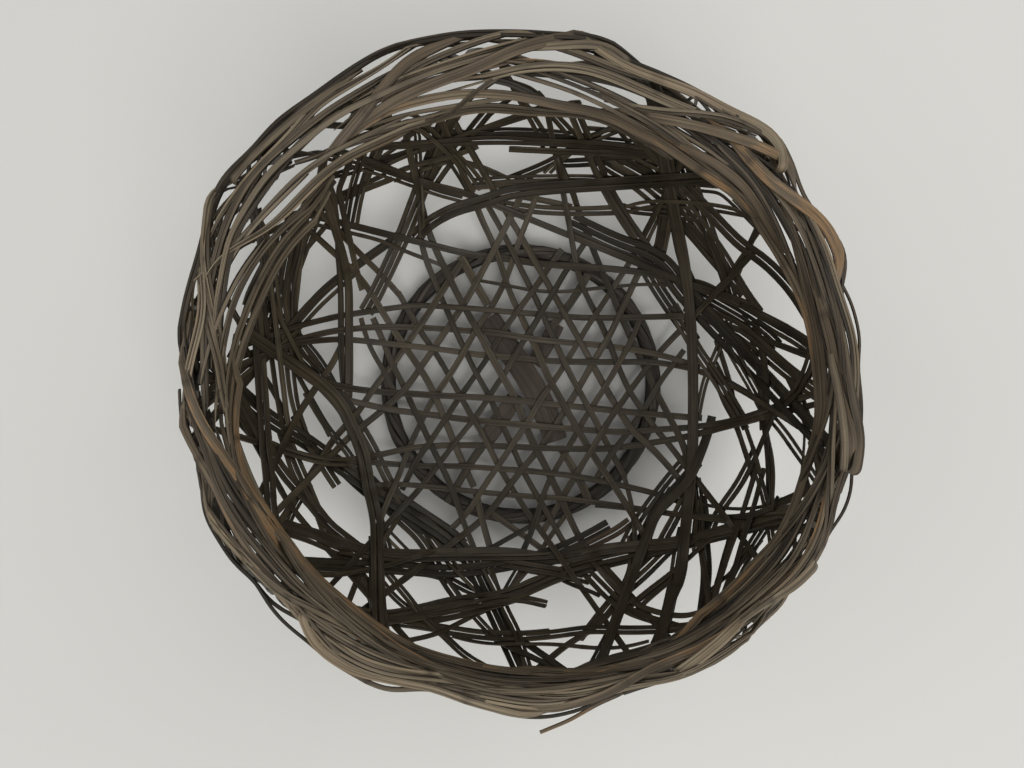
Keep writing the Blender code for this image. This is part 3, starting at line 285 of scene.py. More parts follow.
        (7.0, 0, 1, "b", [(310, 484), (300, 499), (291, 515), (286, 530), (280, 548)]),
        (10.0, 1, 0, "b", [(268, 524), (280, 529), (301, 535), (322, 543), (333, 550), (352, 556)]),
        (5.0, 0, 1, "b", [(410, 500), (399, 517), (388, 534), (379, 549), (376, 560), (374, 580), (372, 604)]),
        (5.0, 1, 0, "b", [(304, 572), (314, 574), (340, 575), (365, 570), (391, 565), (410, 558), (430, 553), (450, 545)]),
        (16.0, 0, 0, "d", [(390, 494), (404, 504), (423, 517), (442, 530), (450, 534), (462, 546)]),
        (3.0, 0, 0, "g", [(380, 530), (388, 539), (399, 550), (412, 562)]),
        (3.0, 0, 0, "b", [(385, 526), (394, 536), (405, 547), (418, 560)]),
        (9.0, 1, 0, "b", [(243, 424), (250, 431), (258, 441), (265, 452), (272, 468)]),
        (10.0, 0, 0, "d", [(324, 452), (335, 462), (350, 478), (372, 497), (386, 506)]),
        (6.0, 0, 0, "b", [(330, 454), (340, 462), (359, 477), (375, 490), (392, 498)]),
        (5.0, 1, 0, "b", [(248, 352), (262, 372), (276, 396), (288, 420)]),
        (4.0, 1, 0, "g", [(272, 300), (282, 322), (296, 350), (312, 380)]),
    ],
    "wall_south": [
        (16.0, 0, 0, "d", [(352, 466), (367, 480), (382, 495), (399, 509), (417, 522), (440, 534), (450, 541), (466, 556)]),
        (10.0, 0, 0, "b", [(388, 508), (401, 521), (417, 534), (427, 549), (438, 567), (447, 585), (458, 598), (466, 612)]),
        (8.0, 0, 0, "b", [(420, 520), (429, 535), (440, 552), (453, 565), (465, 577), (478, 591), (486, 597)]),
        (7.0, 0, 0, "b", [(340, 550), (373, 556), (401, 559), (440, 558), (491, 557), (550, 556), (590, 550)]),
        (10.0, 0, 0, "b", [(484, 560), (501, 562), (529, 567), (550, 570), (572, 575), (590, 580)]),
        (8.0, 0, 0, "d", [(380, 560), (391, 564), (401, 567), (420, 572), (440, 575), (450, 579), (465, 590), (478, 594), (491, 598)]),
        (7.0, 0, 0, "b", [(472, 548), (482, 563), (491, 580), (499, 595)]),
        (4.0, 0, 0, "b", [(486, 548), (490, 562), (496, 583), (501, 595)]),
        (7.0, 0, 0, "b", [(524, 560), (514, 576), (504, 594)]),
        (6.0, 0, 0, "b", [(534, 562), (522, 575), (506, 594)]),
        (6.0, 0, 0, "b", [(502, 596), (508, 594), (529, 581), (550, 575), (574, 566), (594, 557)]),
        (6.0, 0, 0, "g", [(503, 598), (509, 595), (529, 589), (550, 581), (576, 570), (600, 560)]),
        (8.0, 1, 0, "b", [(336, 604), (350, 608), (375, 615), (400, 613), (425, 607), (450, 601), (475, 598), (500, 597)]),
        (8.0, 1, 0, "b", [(352, 620), (375, 620), (400, 620), (425, 615), (450, 610), (475, 605), (500, 598), (520, 598), (546, 604)]),
        (6.0, 0, 0, "b", [(412, 624), (425, 622), (450, 618), (475, 612), (500, 605), (515, 600)]),
        (7.0, 0, 0, "b", [(490, 596), (504, 598), (529, 600), (547, 604)]),
        (7.0, 1, 0, "b", [(336, 618), (350, 622), (385, 622), (410, 625), (440, 630)]),
        (5.0, 1, 0, "b", [(392, 643), (404, 641), (422, 638), (440, 633), (453, 626), (465, 620), (478, 613), (491, 608)]),
        (7.0, 0, 1, "b", [(376, 557), (386, 571), (401, 589), (414, 604), (420, 615), (440, 631), (453, 645), (465, 656), (478, 663), (491, 670)]),
        (7.0, 0, 0, "b", [(372, 570), (381, 581), (388, 591), (405, 607), (414, 612), (424, 620)]),
        (10.0, 0, 0, "b", [(434, 628), (445, 630), (453, 631), (478, 635), (504, 636), (529, 636), (550, 634)]),
        (3.5, 0, 0, "g", [(452, 636), (465, 640), (491, 644), (517, 644), (550, 644), (566, 645), (591, 648), (617, 648), (635, 645), (649, 641)]),
        (7.0, 0, 0, "b", [(464, 600), (470, 610), (478, 620), (491, 633), (500, 643)]),
        (8.0, 0, 1, "b", [(499, 594), (504, 607), (511, 621), (518, 633), (523, 650)]),
        (6.0, 0, 1, "b", [(486, 632), (501, 643), (517, 650), (536, 659), (542, 662)]),
        (6.0, 0, 1, "b", [(516, 636), (527, 644), (542, 654), (556, 664)]),
        (7.5, 0, 1, "b", [(372, 536), (373, 552), (373, 583), (374, 613), (376, 630)]),
        (7.5, 0, 1, "b", [(379, 536), (380, 552), (381, 583), (383, 613), (386, 632)]),
        (11.0, 0, 1, "b", [(340, 550), (350, 562), (361, 576), (373, 595), (378, 612), (384, 632)]),
        (10.0, 0, 0, "r", [(630, 521), (619, 531), (604, 538), (588, 546)]),
        (10.0, 0, 0, "b", [(678, 544), (655, 544), (630, 547), (604, 549), (591, 552), (566, 557), (540, 562)]),
        (11.0, 0, 0, "b", [(520, 566), (540, 570), (559, 572), (572, 575), (582, 579)]),
        (5.0, 0, 1, "b", [(560, 552), (572, 563), (591, 581), (601, 593), (609, 600), (619, 608), (630, 615), (643, 618), (655, 622)]),
        (5.0, 0, 1, "b", [(570, 550), (581, 562), (598, 579), (609, 590), (622, 603), (636, 613), (649, 617), (660, 620)]),
        (5.0, 0, 1, "b", [(580, 548), (591, 560), (601, 572), (612, 585), (623, 597), (635, 604), (646, 609), (660, 613), (675, 616), (691, 617), (700, 612)]),
        (4.0, 0, 0, "g", [(552, 575), (562, 580), (578, 588), (591, 590), (600, 596)]),
        (3.2, 0, 0, "g", [(676, 541), (663, 552), (649, 567), (635, 580), (624, 589), (615, 600)]),
        (3.2, 0, 0, "b", [(671, 539), (659, 549), (645, 563), (631, 576), (620, 586), (612, 596)]),
        (3.2, 0, 0, "b", [(680, 545), (667, 556), (653, 571), (640, 583), (628, 593)]),
        (6.0, 0, 0, "b", [(613, 596), (607, 604), (596, 617), (590, 625), (580, 640)]),
        (6.0, 0, 1, "b", [(618, 600), (612, 609), (604, 620), (591, 630), (578, 638), (566, 645), (553, 656)]),
        (7.0, 0, 1, "b", [(619, 602), (617, 613), (612, 627), (608, 636), (601, 647), (595, 659)]),
        (5.0, 0, 0, "b", [(682, 564), (671, 574), (655, 588), (635, 603), (622, 612)]),
        (5.0, 0, 0, "g", [(682, 570), (668, 583), (655, 593), (641, 606), (630, 616)]),
        (12.0, 0, 1, "b", [(684, 528), (681, 541), (678, 557), (676, 576), (671, 595), (667, 615), (662, 634), (655, 649)]),
        (8.0, 0, 1, "d", [(702, 496), (705, 512), (705, 541), (708, 563), (707, 583), (704, 602), (700, 616)]),
        (6.0, 0, 1, "b", [(736, 518), (730, 539), (723, 563), (716, 590), (709, 608), (705, 616)]),
        (10.0, 0, 1, "d", [(750, 548), (740, 570), (726, 595), (719, 606)]),
        (9.0, 0, 1, "b", [(526, 637), (540, 636), (566, 633), (591, 629), (617, 630), (643, 630), (668, 629), (691, 626)]),
        (3.2, 0, 0, "b", [(628, 536), (630, 550), (631, 563), (627, 576), (620, 589), (613, 602)]),
        (3.2, 0, 0, "g", [(632, 536), (634, 550), (635, 563), (631, 576), (624, 589), (617, 602)]),
        (3.2, 0, 0, "b", [(636, 536), (638, 550), (639, 563), (635, 576), (628, 589), (621, 603)]),
        (5.0, 0, 0, "b", [(624, 476), (628, 490), (633, 510), (634, 530), (636, 547), (634, 562)]),
        (9.0, 0, 0, "b", [(634, 552), (641, 540), (651, 518), (658, 505), (668, 486)]),
        (10.0, 0, 0, "b", [(656, 554), (663, 539), (676, 516), (685, 497), (694, 478)]),
        (5.0, 0, 0, "b", [(684, 552), (687, 539), (689, 521), (691, 506), (694, 488)]),
        (5.0, 0, 0, "g", [(693, 552), (694, 536), (696, 518), (698, 500)]),
    ],
}

SLATS = [  # under the weave: node, width, points
    ("floor_slat_main", 24.0, [(488, 318), (507, 347), (528, 378), (546, 413), (556, 441)]),
    ("floor_slat_left", 17.0, [(485, 440), (503, 416), (517, 394)]),
    ("floor_slat_right", 17.0, [(534, 364), (544, 349), (557, 324)]),
]

# ------------------------------------------------------------------ openings in the rim: both ends and width
GAPS = [
    ((268, 138), (280, 128), 1.5), ((268, 157), (277, 151), 1.5), ((322, 117), (335, 109), 1.2), ((221, 195), (231, 181), 2.0),
    ((230, 196), (243, 177), 1.5), ((263, 203), (309, 163), 6.0), ((271, 210), (302, 174), 1.5), ((283, 206), (296, 188), 8.0),
    ((301, 193), (317, 171), 8.0), ((309, 150), (320, 142), 5.0), ((324, 149), (336, 133), 5.0), ((333, 186), (340, 179), 4.0),
    ((293, 208), (304, 198), 3.0), ((356, 84), (390, 68), 4.5), ((446, 49), (463, 46), 3.0), ((393, 111), (413, 108), 7.0),
    ((426, 110), (458, 102), 8.0), ((424, 115), (453, 114), 3.0), ((456, 90), (479, 81), 5.0), ((387, 138), (404, 132), 4.0),
    ((415, 127), (422, 127), 1.5), ((354, 153), (364, 144), 3.0), ((332, 144), (341, 129), 4.0), ((492, 54), (511, 50), 2.5),
    ((526, 55), (562, 58), 5.0), ((592, 40), (600, 44), 2.0), ((471, 89), (486, 81), 6.0), ((488, 89), (502, 89), 5.0),
    ((519, 80), (535, 84), 6.0), ((527, 78), (543, 80), 3.0), ((542, 93), (568, 90), 5.0), ((557, 85), (580, 90), 3.0),
    ((576, 84), (604, 87), 4.0), ((554, 98), (595, 99), 4.0), ((584, 106), (614, 107), 3.5), ((470, 103), (499, 100), 4.0),
    ((481, 111), (494, 108), 2.0), ((600, 87), (605, 88), 2.0), ((610, 93), (626, 99), 6.0), ((600, 97), (607, 99), 3.0),
    ((600, 106), (613, 107), 4.0), ((616, 105), (623, 108), 2.0), ((637, 97), (643, 99), 3.0), ((645, 104), (649, 109), 2.5),
    ((637, 72), (641, 74), 2.5), ((685, 104), (699, 113), 1.5), ((725, 113), (733, 119), 1.5), ((670, 117), (675, 117), 2.0),
    ((675, 131), (702, 145), 1.5), ((679, 130), (695, 138), 2.0), ((680, 137), (697, 147), 3.0), ((709, 141), (716, 147), 1.5),
    ((766, 139), (778, 148), 2.5), ((764, 155), (772, 159), 3.0), ((787, 164), (792, 173), 2.0), ((780, 171), (800, 198), 3.0),
    ((722, 174), (734, 180), 3.0), ((706, 173), (717, 182), 2.0), ((724, 192), (742, 210), 3.0), ((752, 187), (760, 196), 2.0),
    ((747, 203), (757, 213), 4.0), ((768, 210), (773, 215), 1.5), ((766, 220), (773, 229), 3.0), ((767, 229), (779, 241), 1.0),
    ((759, 239), (769, 249), 4.0), ((822, 236), (837, 269), 8.0), ((843, 262), (843, 269), 2.0), ((800, 236), (815, 259), 1.0),
    ((236, 247), (253, 218), 2.5), ((247, 239), (255, 228), 2.0), ((227, 289), (251, 248), 9.0), ((231, 298), (260, 252), 5.5),
    ((236, 311), (249, 284), 1.0), ((241, 314), (265, 271), 8.0), ((264, 202), (271, 191), 6.0), ((264, 215), (284, 192), 2.0),
    ((268, 225), (293, 194), 8.0), ((277, 223), (283, 219), 3.0), ((270, 236), (276, 233), 4.0), ((291, 213), (300, 204), 3.0),
    ((220, 338), (229, 315), 7.0), ((224, 343), (232, 319), 1.5), ((240, 317), (249, 311), 6.0), ((230, 360), (239, 329), 8.0),
    ((183, 359), (183, 344), 1.5),
]

# ------------------------------------------------------------------ the rim on the plan sketch
RIM_OUTSIDE = [(181, 395), (180, 350), (182, 330), (185, 310), (190, 290), (195, 270), (202, 250), (209, 225), (215, 200), (227, 182), (240, 168), (252, 157), (266, 140), (283, 121), (303, 107), (323, 89), (343, 73), (377, 57), (402, 47), (427, 40), (452, 35), (477, 33), (500, 32), (530, 32), (560, 35), (590, 37), (610, 45), (632, 62), (660, 74), (682, 83), (702, 95), (730, 112), (755, 126), (776, 142), (788, 166), (800, 196), (816, 214), (833, 236), (839, 256), (841, 280), (843, 300), (850, 325), (854, 350), (857, 380), (857, 410), (860, 440), (852, 464), (842, 482), (834, 505), (829, 530), (820, 550), (808, 570), (790, 585), (772, 602), (756, 622), (740, 641), (715, 661), (690, 674), (664, 681), (632, 686), (602, 698), (570, 706), (540, 711), (515, 712), (490, 706), (465, 700), (440, 690), (415, 685), (385, 679), (360, 672), (335, 660), (314, 643), (304, 620), (285, 606), (264, 590), (246, 573), (232, 558), (217, 540), (206, 512), (198, 468), (190, 440), (183, 412)]
RIM_INSIDE = [(228, 400), (228, 370), (236, 350), (246, 322), (256, 298), (267, 273), (281, 248), (299, 224), (322, 198), (345, 170), (372, 150), (405, 133), (440, 121), (470, 113), (500, 111), (530, 116), (560, 119), (600, 123), (622, 134), (646, 144), (677, 163), (709, 185), (732, 199), (757, 223), (776, 252), (790, 282), (804, 310), (812, 340), (817, 370), (820, 400), (818, 435), (806, 472), (790, 512), (774, 545), (752, 575), (722, 606), (690, 632), (645, 652), (600, 664), (550, 670), (500, 670), (445, 662), (410, 651), (380, 634), (350, 608), (316, 578), (296, 560), (278, 536), (264, 514), (250, 488), (240, 465), (231, 432)]

# width, kind, fold at the end, points, in the order in which they lie on each other
RIM = [
    # north-west to north
    (6.5, "d", 0, [(350, 70), (376, 53), (401, 45), (427, 40), (453, 35), (478, 33), (504, 33)]),
    (5.0, "g", 0, [(350, 86), (388, 63), (404, 51)]),
    (9.0, "g", 0, [(550, 65), (530, 67), (510, 70), (491, 76), (478, 80)]),
    (6.0, "d", 0, [(491, 80), (510, 80), (530, 94)]),
    (8.5, "g", 0, [(550, 102), (530, 98), (504, 94), (478, 93), (453, 94), (433, 98), (414, 102), (395, 107), (376, 115), (363, 126), (350, 135)]),
    (10.0, "g", 0, [(550, 115), (530, 112), (504, 108), (485, 107), (465, 108), (446, 115), (427, 120), (408, 124), (388, 130), (369, 136), (350, 140)]),
    (10.0, "l", 0, [(410, 128), (395, 134), (376, 144), (350, 156)]),
    (7.0, "l", 0, [(510, 33), (491, 36), (472, 43), (453, 51), (433, 58), (414, 67), (401, 76), (388, 86), (370, 104)]),
    (5.0, "g", 0, [(528, 40), (508, 44), (489, 49), (466, 56), (443, 64), (420, 71), (398, 80)]),
    (4.5, "b", 0, [(524, 47), (500, 53), (472, 60), (446, 68), (422, 76), (398, 86), (384, 93)]),
    (6.0, "w", 0, [(492, 66), (466, 72), (442, 77), (420, 83), (400, 90), (384, 98)]),
    (11.0, "w", 0, [(575, 36), (562, 38), (549, 41), (530, 44), (510, 51), (491, 61), (472, 70), (453, 76), (433, 83), (420, 89), (401, 97), (388, 104), (366, 120)]),
    (11.0, "w", 0, [(437, 47), (422, 51), (408, 60), (395, 72), (386, 83), (376, 97), (363, 115), (350, 128), (336, 146)]),
    (4.0, "g", 0, [(424, 111), (446, 108), (465, 104), (485, 101)]),
    (5.0, "b", 0, [(491, 81), (478, 90), (462, 102), (453, 113)]),
    (8.5, "g", 0, [(375, 56), (342, 76), (316, 97), (300, 107), (281, 120), (265, 135), (260, 144), (252, 157), (240, 161), (234, 166), (224, 179), (213, 195), (210, 211), (208, 225)]),
    (8.5, "l", 0, [(354, 83), (329, 94), (310, 112), (297, 128), (284, 143), (265, 160), (252, 175), (239, 190), (230, 204)]),
    (6.0, "g", 0, [(375, 97), (342, 112), (316, 131), (297, 148), (278, 163), (258, 185), (247, 204)]),
    (6.5, "b", 0, [(366, 88), (338, 103), (312, 122), (290, 140), (268, 158), (248, 180), (234, 205)]),
    (9.0, "l", 0, [(375, 140), (354, 151), (329, 169), (303, 194), (284, 215)]),
    (4.0, "g", 0, [(375, 131), (342, 147), (316, 161), (297, 176), (278, 195), (263, 212)]),
    # west
    (6.0, "b", 0, [(201, 251), (192, 279), (185, 303), (181, 328)]),
    (7.0, "g", 0, [(232, 206), (222, 232), (214, 262), (208, 292), (204, 322), (203, 352), (206, 380)]),
    (6.0, "b", 0, [(242, 212), (232, 240), (225, 268), (221, 296), (219, 324), (218, 352), (219, 382)]),
    (9.0, "l", 0, [(210, 200), (206, 226), (204, 251), (206, 277), (212, 303), (216, 328), (220, 341)]),
    (8.0, "l", 0, [(201, 282), (204, 303), (201, 322), (195, 341), (190, 362)]),
    (8.0, "l", 0, [(206, 318), (212, 341), (219, 360), (220, 379), (222, 400)]),
    (6.0, "w", 0, [(185, 341), (189, 373), (194, 400), (200, 424)]),
    (4.0, "w", 0, [(217, 277), (213, 292), (215, 315)]),
    (5.0, "g", 0, [(252, 200), (233, 226), (226, 245), (222, 270), (220, 283), (219, 305)]),
    (4.0, "b", 0, [(262, 196), (242, 224), (232, 246), (227, 272), (224, 296)]),
    (3.0, "g", 0, [(272, 200), (252, 226), (236, 242)]),
    (3.0, "l", 0, [(280, 200), (260, 219), (246, 236)]),
    (3.5, "g", 0, [(260, 246), (242, 269), (230, 292), (220, 315)]),
    (5.0, "g", 0, [(316, 200), (290, 219), (272, 238), (257, 258), (244, 279), (233, 303), (226, 328), (222, 354)]),
    (5.0, "b", 0, [(310, 206), (284, 226), (266, 246), (251, 266), (238, 288), (229, 312), (224, 338)]),
    (6.0, "g", 0, [(320, 204), (297, 224), (278, 247), (263, 272), (251, 298), (241, 324), (233, 350), (229, 376), (226, 400)]),
    (6.0, "b", 0, [(326, 212), (303, 231), (284, 254), (270, 279), (258, 305), (248, 331), (239, 356), (233, 380), (231, 404)]),
    (5.0, "d", 0, [(220, 282), (229, 309), (243, 328)]),
    (5.5, "d", 0, [(231, 249), (244, 242), (257, 236), (265, 231), (282, 219)]),
    (9.0, "d", 0, [(252, 208), (258, 226), (263, 242), (265, 264)]),
    # south-west
    (6.0, "b", 0, [(217, 493), (229, 508), (239, 524), (249, 538), (265, 557), (284, 575)]),
    (6.0, "b", 0, [(220, 435), (229, 459), (235, 476), (247, 502), (257, 521), (270, 543), (286, 566)]),
    (5.0, "g", 0, [(226, 380), (226, 405), (228, 425), (230, 444), (238, 470)]),
    (5.0, "g", 0, [(236, 441), (244, 463), (252, 483), (265, 508), (278, 534), (292, 556)]),
    (7.0, "w", 0, [(183, 426), (189, 441), (198, 457), (208, 472), (216, 489), (224, 508), (231, 525), (242, 540), (254, 560), (272, 577)]),
    (9.0, "l", 0, [(211, 515), (220, 530), (233, 544), (247, 560), (262, 575), (284, 596)]),
    (10.0, "w", 0, [(186, 380), (189, 393), (194, 412), (201, 422), (208, 434), (213, 445), (226, 457), (231, 467), (239, 480), (252, 500), (268, 526)]),
    (5.0, "g", 0, [(235, 380), (231, 399), (230, 418), (231, 438), (233, 457), (236, 476), (244, 489), (257, 502), (267, 518), (278, 536), (288, 553), (301, 566), (316, 580)]),
    (5.0, "w", 0, [(240, 384), (236, 402), (235, 420), (236, 440), (238, 458), (242, 474), (250, 488), (262, 502), (272, 516), (283, 534), (294, 550), (308, 565), (322, 582)]),
    # south-west to south
    (8.0, "l", 0, [(240, 553), (252, 566), (262, 577), (272, 587), (285, 597), (298, 604), (310, 611), (325, 618), (340, 625), (352, 632), (365, 640), (380, 648), (395, 655), (410, 662), (425, 668)]),
    (6.0, "g", 0, [(262, 575), (275, 588), (290, 598), (305, 605), (320, 611), (335, 618), (352, 627)]),
    (6.0, "b", 0, [(255, 545), (268, 560), (280, 575), (293, 588), (305, 596), (318, 604), (330, 612), (350, 624)]),
    (6.0, "g", 0, [(262, 540), (275, 558), (288, 573), (300, 587), (312, 598), (325, 607), (338, 617), (352, 628), (370, 640)]),
    (9.0, "g", 0, [(285, 548), (296, 565), (305, 578), (315, 590), (325, 601), (338, 613), (352, 626), (368, 638), (385, 650), (400, 660), (418, 668)]),
    (9.0, "w", 0, [(290, 545), (300, 560), (312, 578), (325, 591), (338, 601), (352, 613), (368, 626), (384, 640), (400, 650), (418, 660), (436, 668)]),
    (6.0, "g", 0, [(352, 606), (365, 617), (380, 628), (395, 638), (410, 646), (425, 652), (440, 656), (455, 660), (470, 664), (485, 668), (500, 671)]),
    (6.0, "b", 0, [(340, 605), (355, 618), (370, 630), (385, 641), (400, 650), (415, 656), (430, 663), (445, 668), (460, 672), (480, 677)]),
    (6.0, "b", 0, [(320, 625), (335, 635), (350, 645), (365, 653), (380, 660), (395, 666), (410, 668), (425, 669), (445, 673)]),
    (5.0, "g", 0, [(312, 616), (328, 628), (344, 638), (360, 647), (376, 655), (392, 661), (408, 665)]),
    (10.0, "l", 0, [(312, 628), (320, 640), (330, 652), (345, 662), (360, 670), (375, 676), (395, 679), (415, 681), (440, 681), (460, 683), (480, 684)]),
    (10.0, "l", 0, [(330, 640), (342, 650), (356, 660), (372, 667), (388, 671), (405, 674), (420, 676), (440, 677), (460, 680), (480, 685), (500, 690), (525, 693)]),
    # south
    (6.0, "g", 0, [(400, 645), (420, 652), (440, 658), (460, 663), (480, 667), (500, 671), (520, 672), (540, 673), (560, 675), (580, 675), (600, 672), (622, 668)]),
    (6.0, "b", 0, [(400, 648), (420, 657), (440, 664), (460, 670), (480, 675), (500, 679), (520, 680), (545, 680), (570, 679), (595, 677), (620, 672)]),
    (5.5, "g", 0, [(400, 655), (420, 663), (440, 669), (460, 675), (480, 680), (500, 683), (520, 685), (545, 685), (575, 683), (600, 680), (630, 673)]),
    (6.0, "g", 0, [(455, 680), (470, 684), (490, 690), (510, 693), (530, 693), (550, 692), (575, 688), (600, 684), (620, 679), (640, 672)]),
    (7.0, "b", 0, [(430, 684), (450, 689), (470, 695), (490, 699), (510, 701), (530, 700), (550, 698), (575, 694), (600, 688), (622, 681)]),
    (7.0, "l", 0, [(400, 683), (420, 684), (440, 690), (455, 697), (470, 702), (490, 707), (505, 711), (520, 714)]),
    (10.0, "l", 0, [(486, 697), (500, 700), (520, 704), (540, 706), (560, 704), (580, 700), (600, 694), (618, 687)]),
    (5.0, "d", 0, [(480, 688), (500, 690), (520, 692), (545, 690)]),
    (6.0, "w", 0, [(530, 669), (548, 670), (570, 672), (590, 672), (610, 669), (630, 667), (652, 662)]),
    # south-east
    (8.0, "d", 0, [(575, 668), (600, 662), (625, 656), (650, 649), (675, 641), (690, 632), (705, 622), (720, 612), (735, 602), (750, 588), (760, 575)]),
    (6.0, "b", 0, [(560, 683), (580, 680), (600, 679), (620, 675), (640, 668), (662, 660), (684, 650)]),
    (6.0, "g", 0, [(560, 690), (580, 686), (600, 682), (620, 679), (640, 674), (655, 668), (675, 662), (690, 655), (710, 643)]),
    (6.0, "b", 0, [(560, 697), (580, 694), (600, 690), (615, 686), (630, 680), (645, 674), (664, 667)]),
    (9.0, "g", 0, [(640, 657), (660, 654), (675, 648), (690, 640), (705, 632), (720, 621), (735, 612), (750, 600), (760, 590), (776, 574)]),
    (8.0, "l", 0, [(682, 630), (700, 618), (715, 609), (730, 599), (745, 585), (757, 572), (765, 563), (778, 548)]),
    (7.0, "g", 0, [(620, 670), (640, 668), (660, 661), (680, 655), (695, 648), (710, 640), (722, 630), (735, 618), (748, 605), (760, 595), (778, 580)]),
    (8.0, "w", 0, [(560, 707), (580, 703), (600, 697), (615, 691), (630, 681), (645, 671), (660, 664), (680, 657), (700, 650), (716, 641)]),
    (8.0, "w", 0, [(690, 665), (705, 655), (715, 645), (725, 633), (737, 618), (750, 607), (762, 597), (782, 578)]),
    (11.0, "l", 1, [(738, 624), (725, 638), (710, 650), (695, 662), (684, 669)]),
    (6.0, "g", 0, [(635, 684), (650, 683), (665, 681), (678, 678), (690, 673), (705, 666), (720, 656), (735, 646), (750, 636), (760, 627)]),
    (5.0, "d", 0, [(640, 678), (655, 676), (670, 675), (680, 673)]),
    # east, from the south-east up
    (5.0, "g", 0, [(745, 606), (760, 595), (775, 582), (788, 568), (798, 552), (806, 536), (812, 518), (818, 500), (824, 480)]),
    (5.0, "b", 0, [(752, 612), (768, 600), (784, 586), (797, 571), (807, 555), (815, 538), (821, 520), (826, 500), (829, 480)]),
    (5.0, "g", 0, [(738, 600), (752, 589), (767, 575), (780, 560), (790, 545), (799, 529), (806, 512), (813, 494), (822, 472), (828, 450)]),
    (5.0, "b", 0, [(730, 606), (748, 592), (764, 577), (776, 563), (787, 547), (797, 530), (804, 514), (811, 497)]),
    (5.5, "l", 0, [(758, 606), (776, 593), (792, 579), (804, 564), (814, 548), (822, 531), (826, 512), (829, 492), (831, 470)]),
    (7.0, "l", 0, [(780, 592), (795, 585), (805, 575), (815, 560), (820, 550), (828, 535), (830, 520), (829, 505), (830, 490), (832, 475), (831, 460), (832, 440), (834, 420)]),
    (8.0, "g", 0, [(820, 478), (813, 492), (808, 500), (800, 512), (790, 525), (780, 535), (770, 548), (760, 560), (748, 570)]),
    (8.0, "w", 0, [(820, 430), (813, 450), (808, 460), (803, 480), (797, 500), (790, 518), (782, 533), (772, 549), (758, 565)]),
    (8.0, "w", 0, [(776, 543), (762, 559), (745, 575), (730, 590), (715, 605), (700, 615)]),
    (5.0, "b", 0, [(843, 475), (838, 488), (833, 503), (831, 520)]),
    (7.0, "g", 0, [(806, 243), (812, 265), (818, 285), (823, 305), (828, 320), (832, 340), (833, 360), (832, 380), (830, 400), (825, 415), (820, 430), (815, 445), (807, 465)]),
    (8.0, "w", 0, [(763, 230), (775, 248), (785, 265), (793, 280), (800, 295), (806, 310), (811, 325), (813, 340), (815, 355), (817, 370), (819, 385), (820, 400), (820, 420)]),
    (9.0, "w", 0, [(790, 224), (797, 243), (801, 262), (805, 280), (810, 300), (815, 318), (818, 335), (820, 350), (822, 365), (823, 385), (824, 404)]),
    (7.0, "g", 0, [(800, 222), (815, 243), (822, 262), (828, 280), (833, 300), (838, 318), (843, 335), (846, 350), (848, 365), (850, 385), (851, 405)]),
    (6.0, "b", 0, [(810, 232), (818, 252), (825, 272), (830, 290), (836, 310), (840, 330), (842, 350), (843, 370), (843, 390)]),
    (8.0, "l", 0, [(812, 224), (824, 243), (830, 262), (836, 285), (842, 305), (848, 320), (852, 335), (855, 352), (856, 370), (855, 390), (853, 410)]),
    (9.0, "w", 1, [(822, 310), (828, 330), (833, 350), (836, 370), (838, 385), (842, 400), (848, 415), (852, 430), (854, 445), (852, 462)]),
    (8.0, "l", 1, [(832, 360), (837, 385), (841, 405), (844, 428), (846, 448), (844, 463)]),
    (9.0, "l", 1, [(846, 375), (852, 395), (857, 415), (860, 435), (861, 450), (857, 466)]),
    # north-east
    (8.0, "d", 0, [(530, 74), (556, 74), (588, 76), (613, 81), (633, 88), (652, 97), (671, 104), (684, 110), (704, 120)]),
    (6.5, "g", 0, [(530, 33), (549, 36), (568, 36), (581, 35), (594, 36), (607, 40), (617, 45), (622, 53)]),
    (10.0, "l", 0, [(530, 65), (556, 65), (581, 67), (600, 72), (620, 80), (639, 89), (658, 97), (677, 106), (690, 111), (712, 118)]),
    (8.0, "g", 0, [(562, 48), (581, 54), (600, 62), (620, 70), (633, 75), (645, 78), (665, 80), (680, 84), (697, 95), (716, 106), (730, 115), (750, 124)]),
    (8.0, "d", 0, [(588, 42), (600, 51), (612, 58), (620, 62), (627, 70), (635, 72), (650, 76)]),
    (6.0, "d", 0, [(624, 60), (639, 66), (658, 73), (677, 82), (697, 91), (716, 103), (730, 112), (745, 119)]),
    (3.5, "g", 0, [(556, 78), (575, 85), (594, 93), (609, 101), (626, 108), (639, 117), (660, 130)]),
    (3.5, "b", 0, [(562, 74), (582, 81), (602, 89), (618, 97), (636, 105), (650, 114), (672, 127)]),
    (3.5, "g", 0, [(550, 84), (570, 90), (588, 98), (603, 106), (620, 113), (634, 122), (654, 134)]),
    (9.0, "w", 0, [(530, 99), (549, 104), (568, 107), (588, 110), (607, 115), (620, 120), (633, 128), (645, 134), (665, 144), (677, 154), (690, 163), (709, 176), (730, 190)]),
    (6.0, "g", 0, [(530, 112), (556, 113), (581, 115), (602, 117), (620, 128), (640, 140)]),
    (10.0, "g", 0, [(612, 99), (627, 108), (645, 117), (665, 128), (677, 138), (697, 154), (716, 169), (730, 179), (748, 196)]),
    (7.0, "l", 0, [(639, 108), (658, 111), (677, 112), (697, 113), (716, 115), (730, 118), (750, 126), (766, 138)]),
    (6.0, "d", 0, [(690, 130), (705, 142), (720, 156), (735, 168), (748, 182), (758, 195), (765, 210), (772, 226)]),
    (6.0, "d", 0, [(700, 131), (718, 142), (735, 155), (750, 170), (762, 185), (770, 200), (780, 215), (788, 232)]),
    (5.0, "b", 0, [(706, 140), (726, 155), (742, 170), (755, 186), (765, 202), (774, 220), (783, 240), (790, 260)]),
    (5.0, "b", 0, [(770, 196), (782, 214), (792, 232), (800, 252), (806, 272), (812, 294)]),
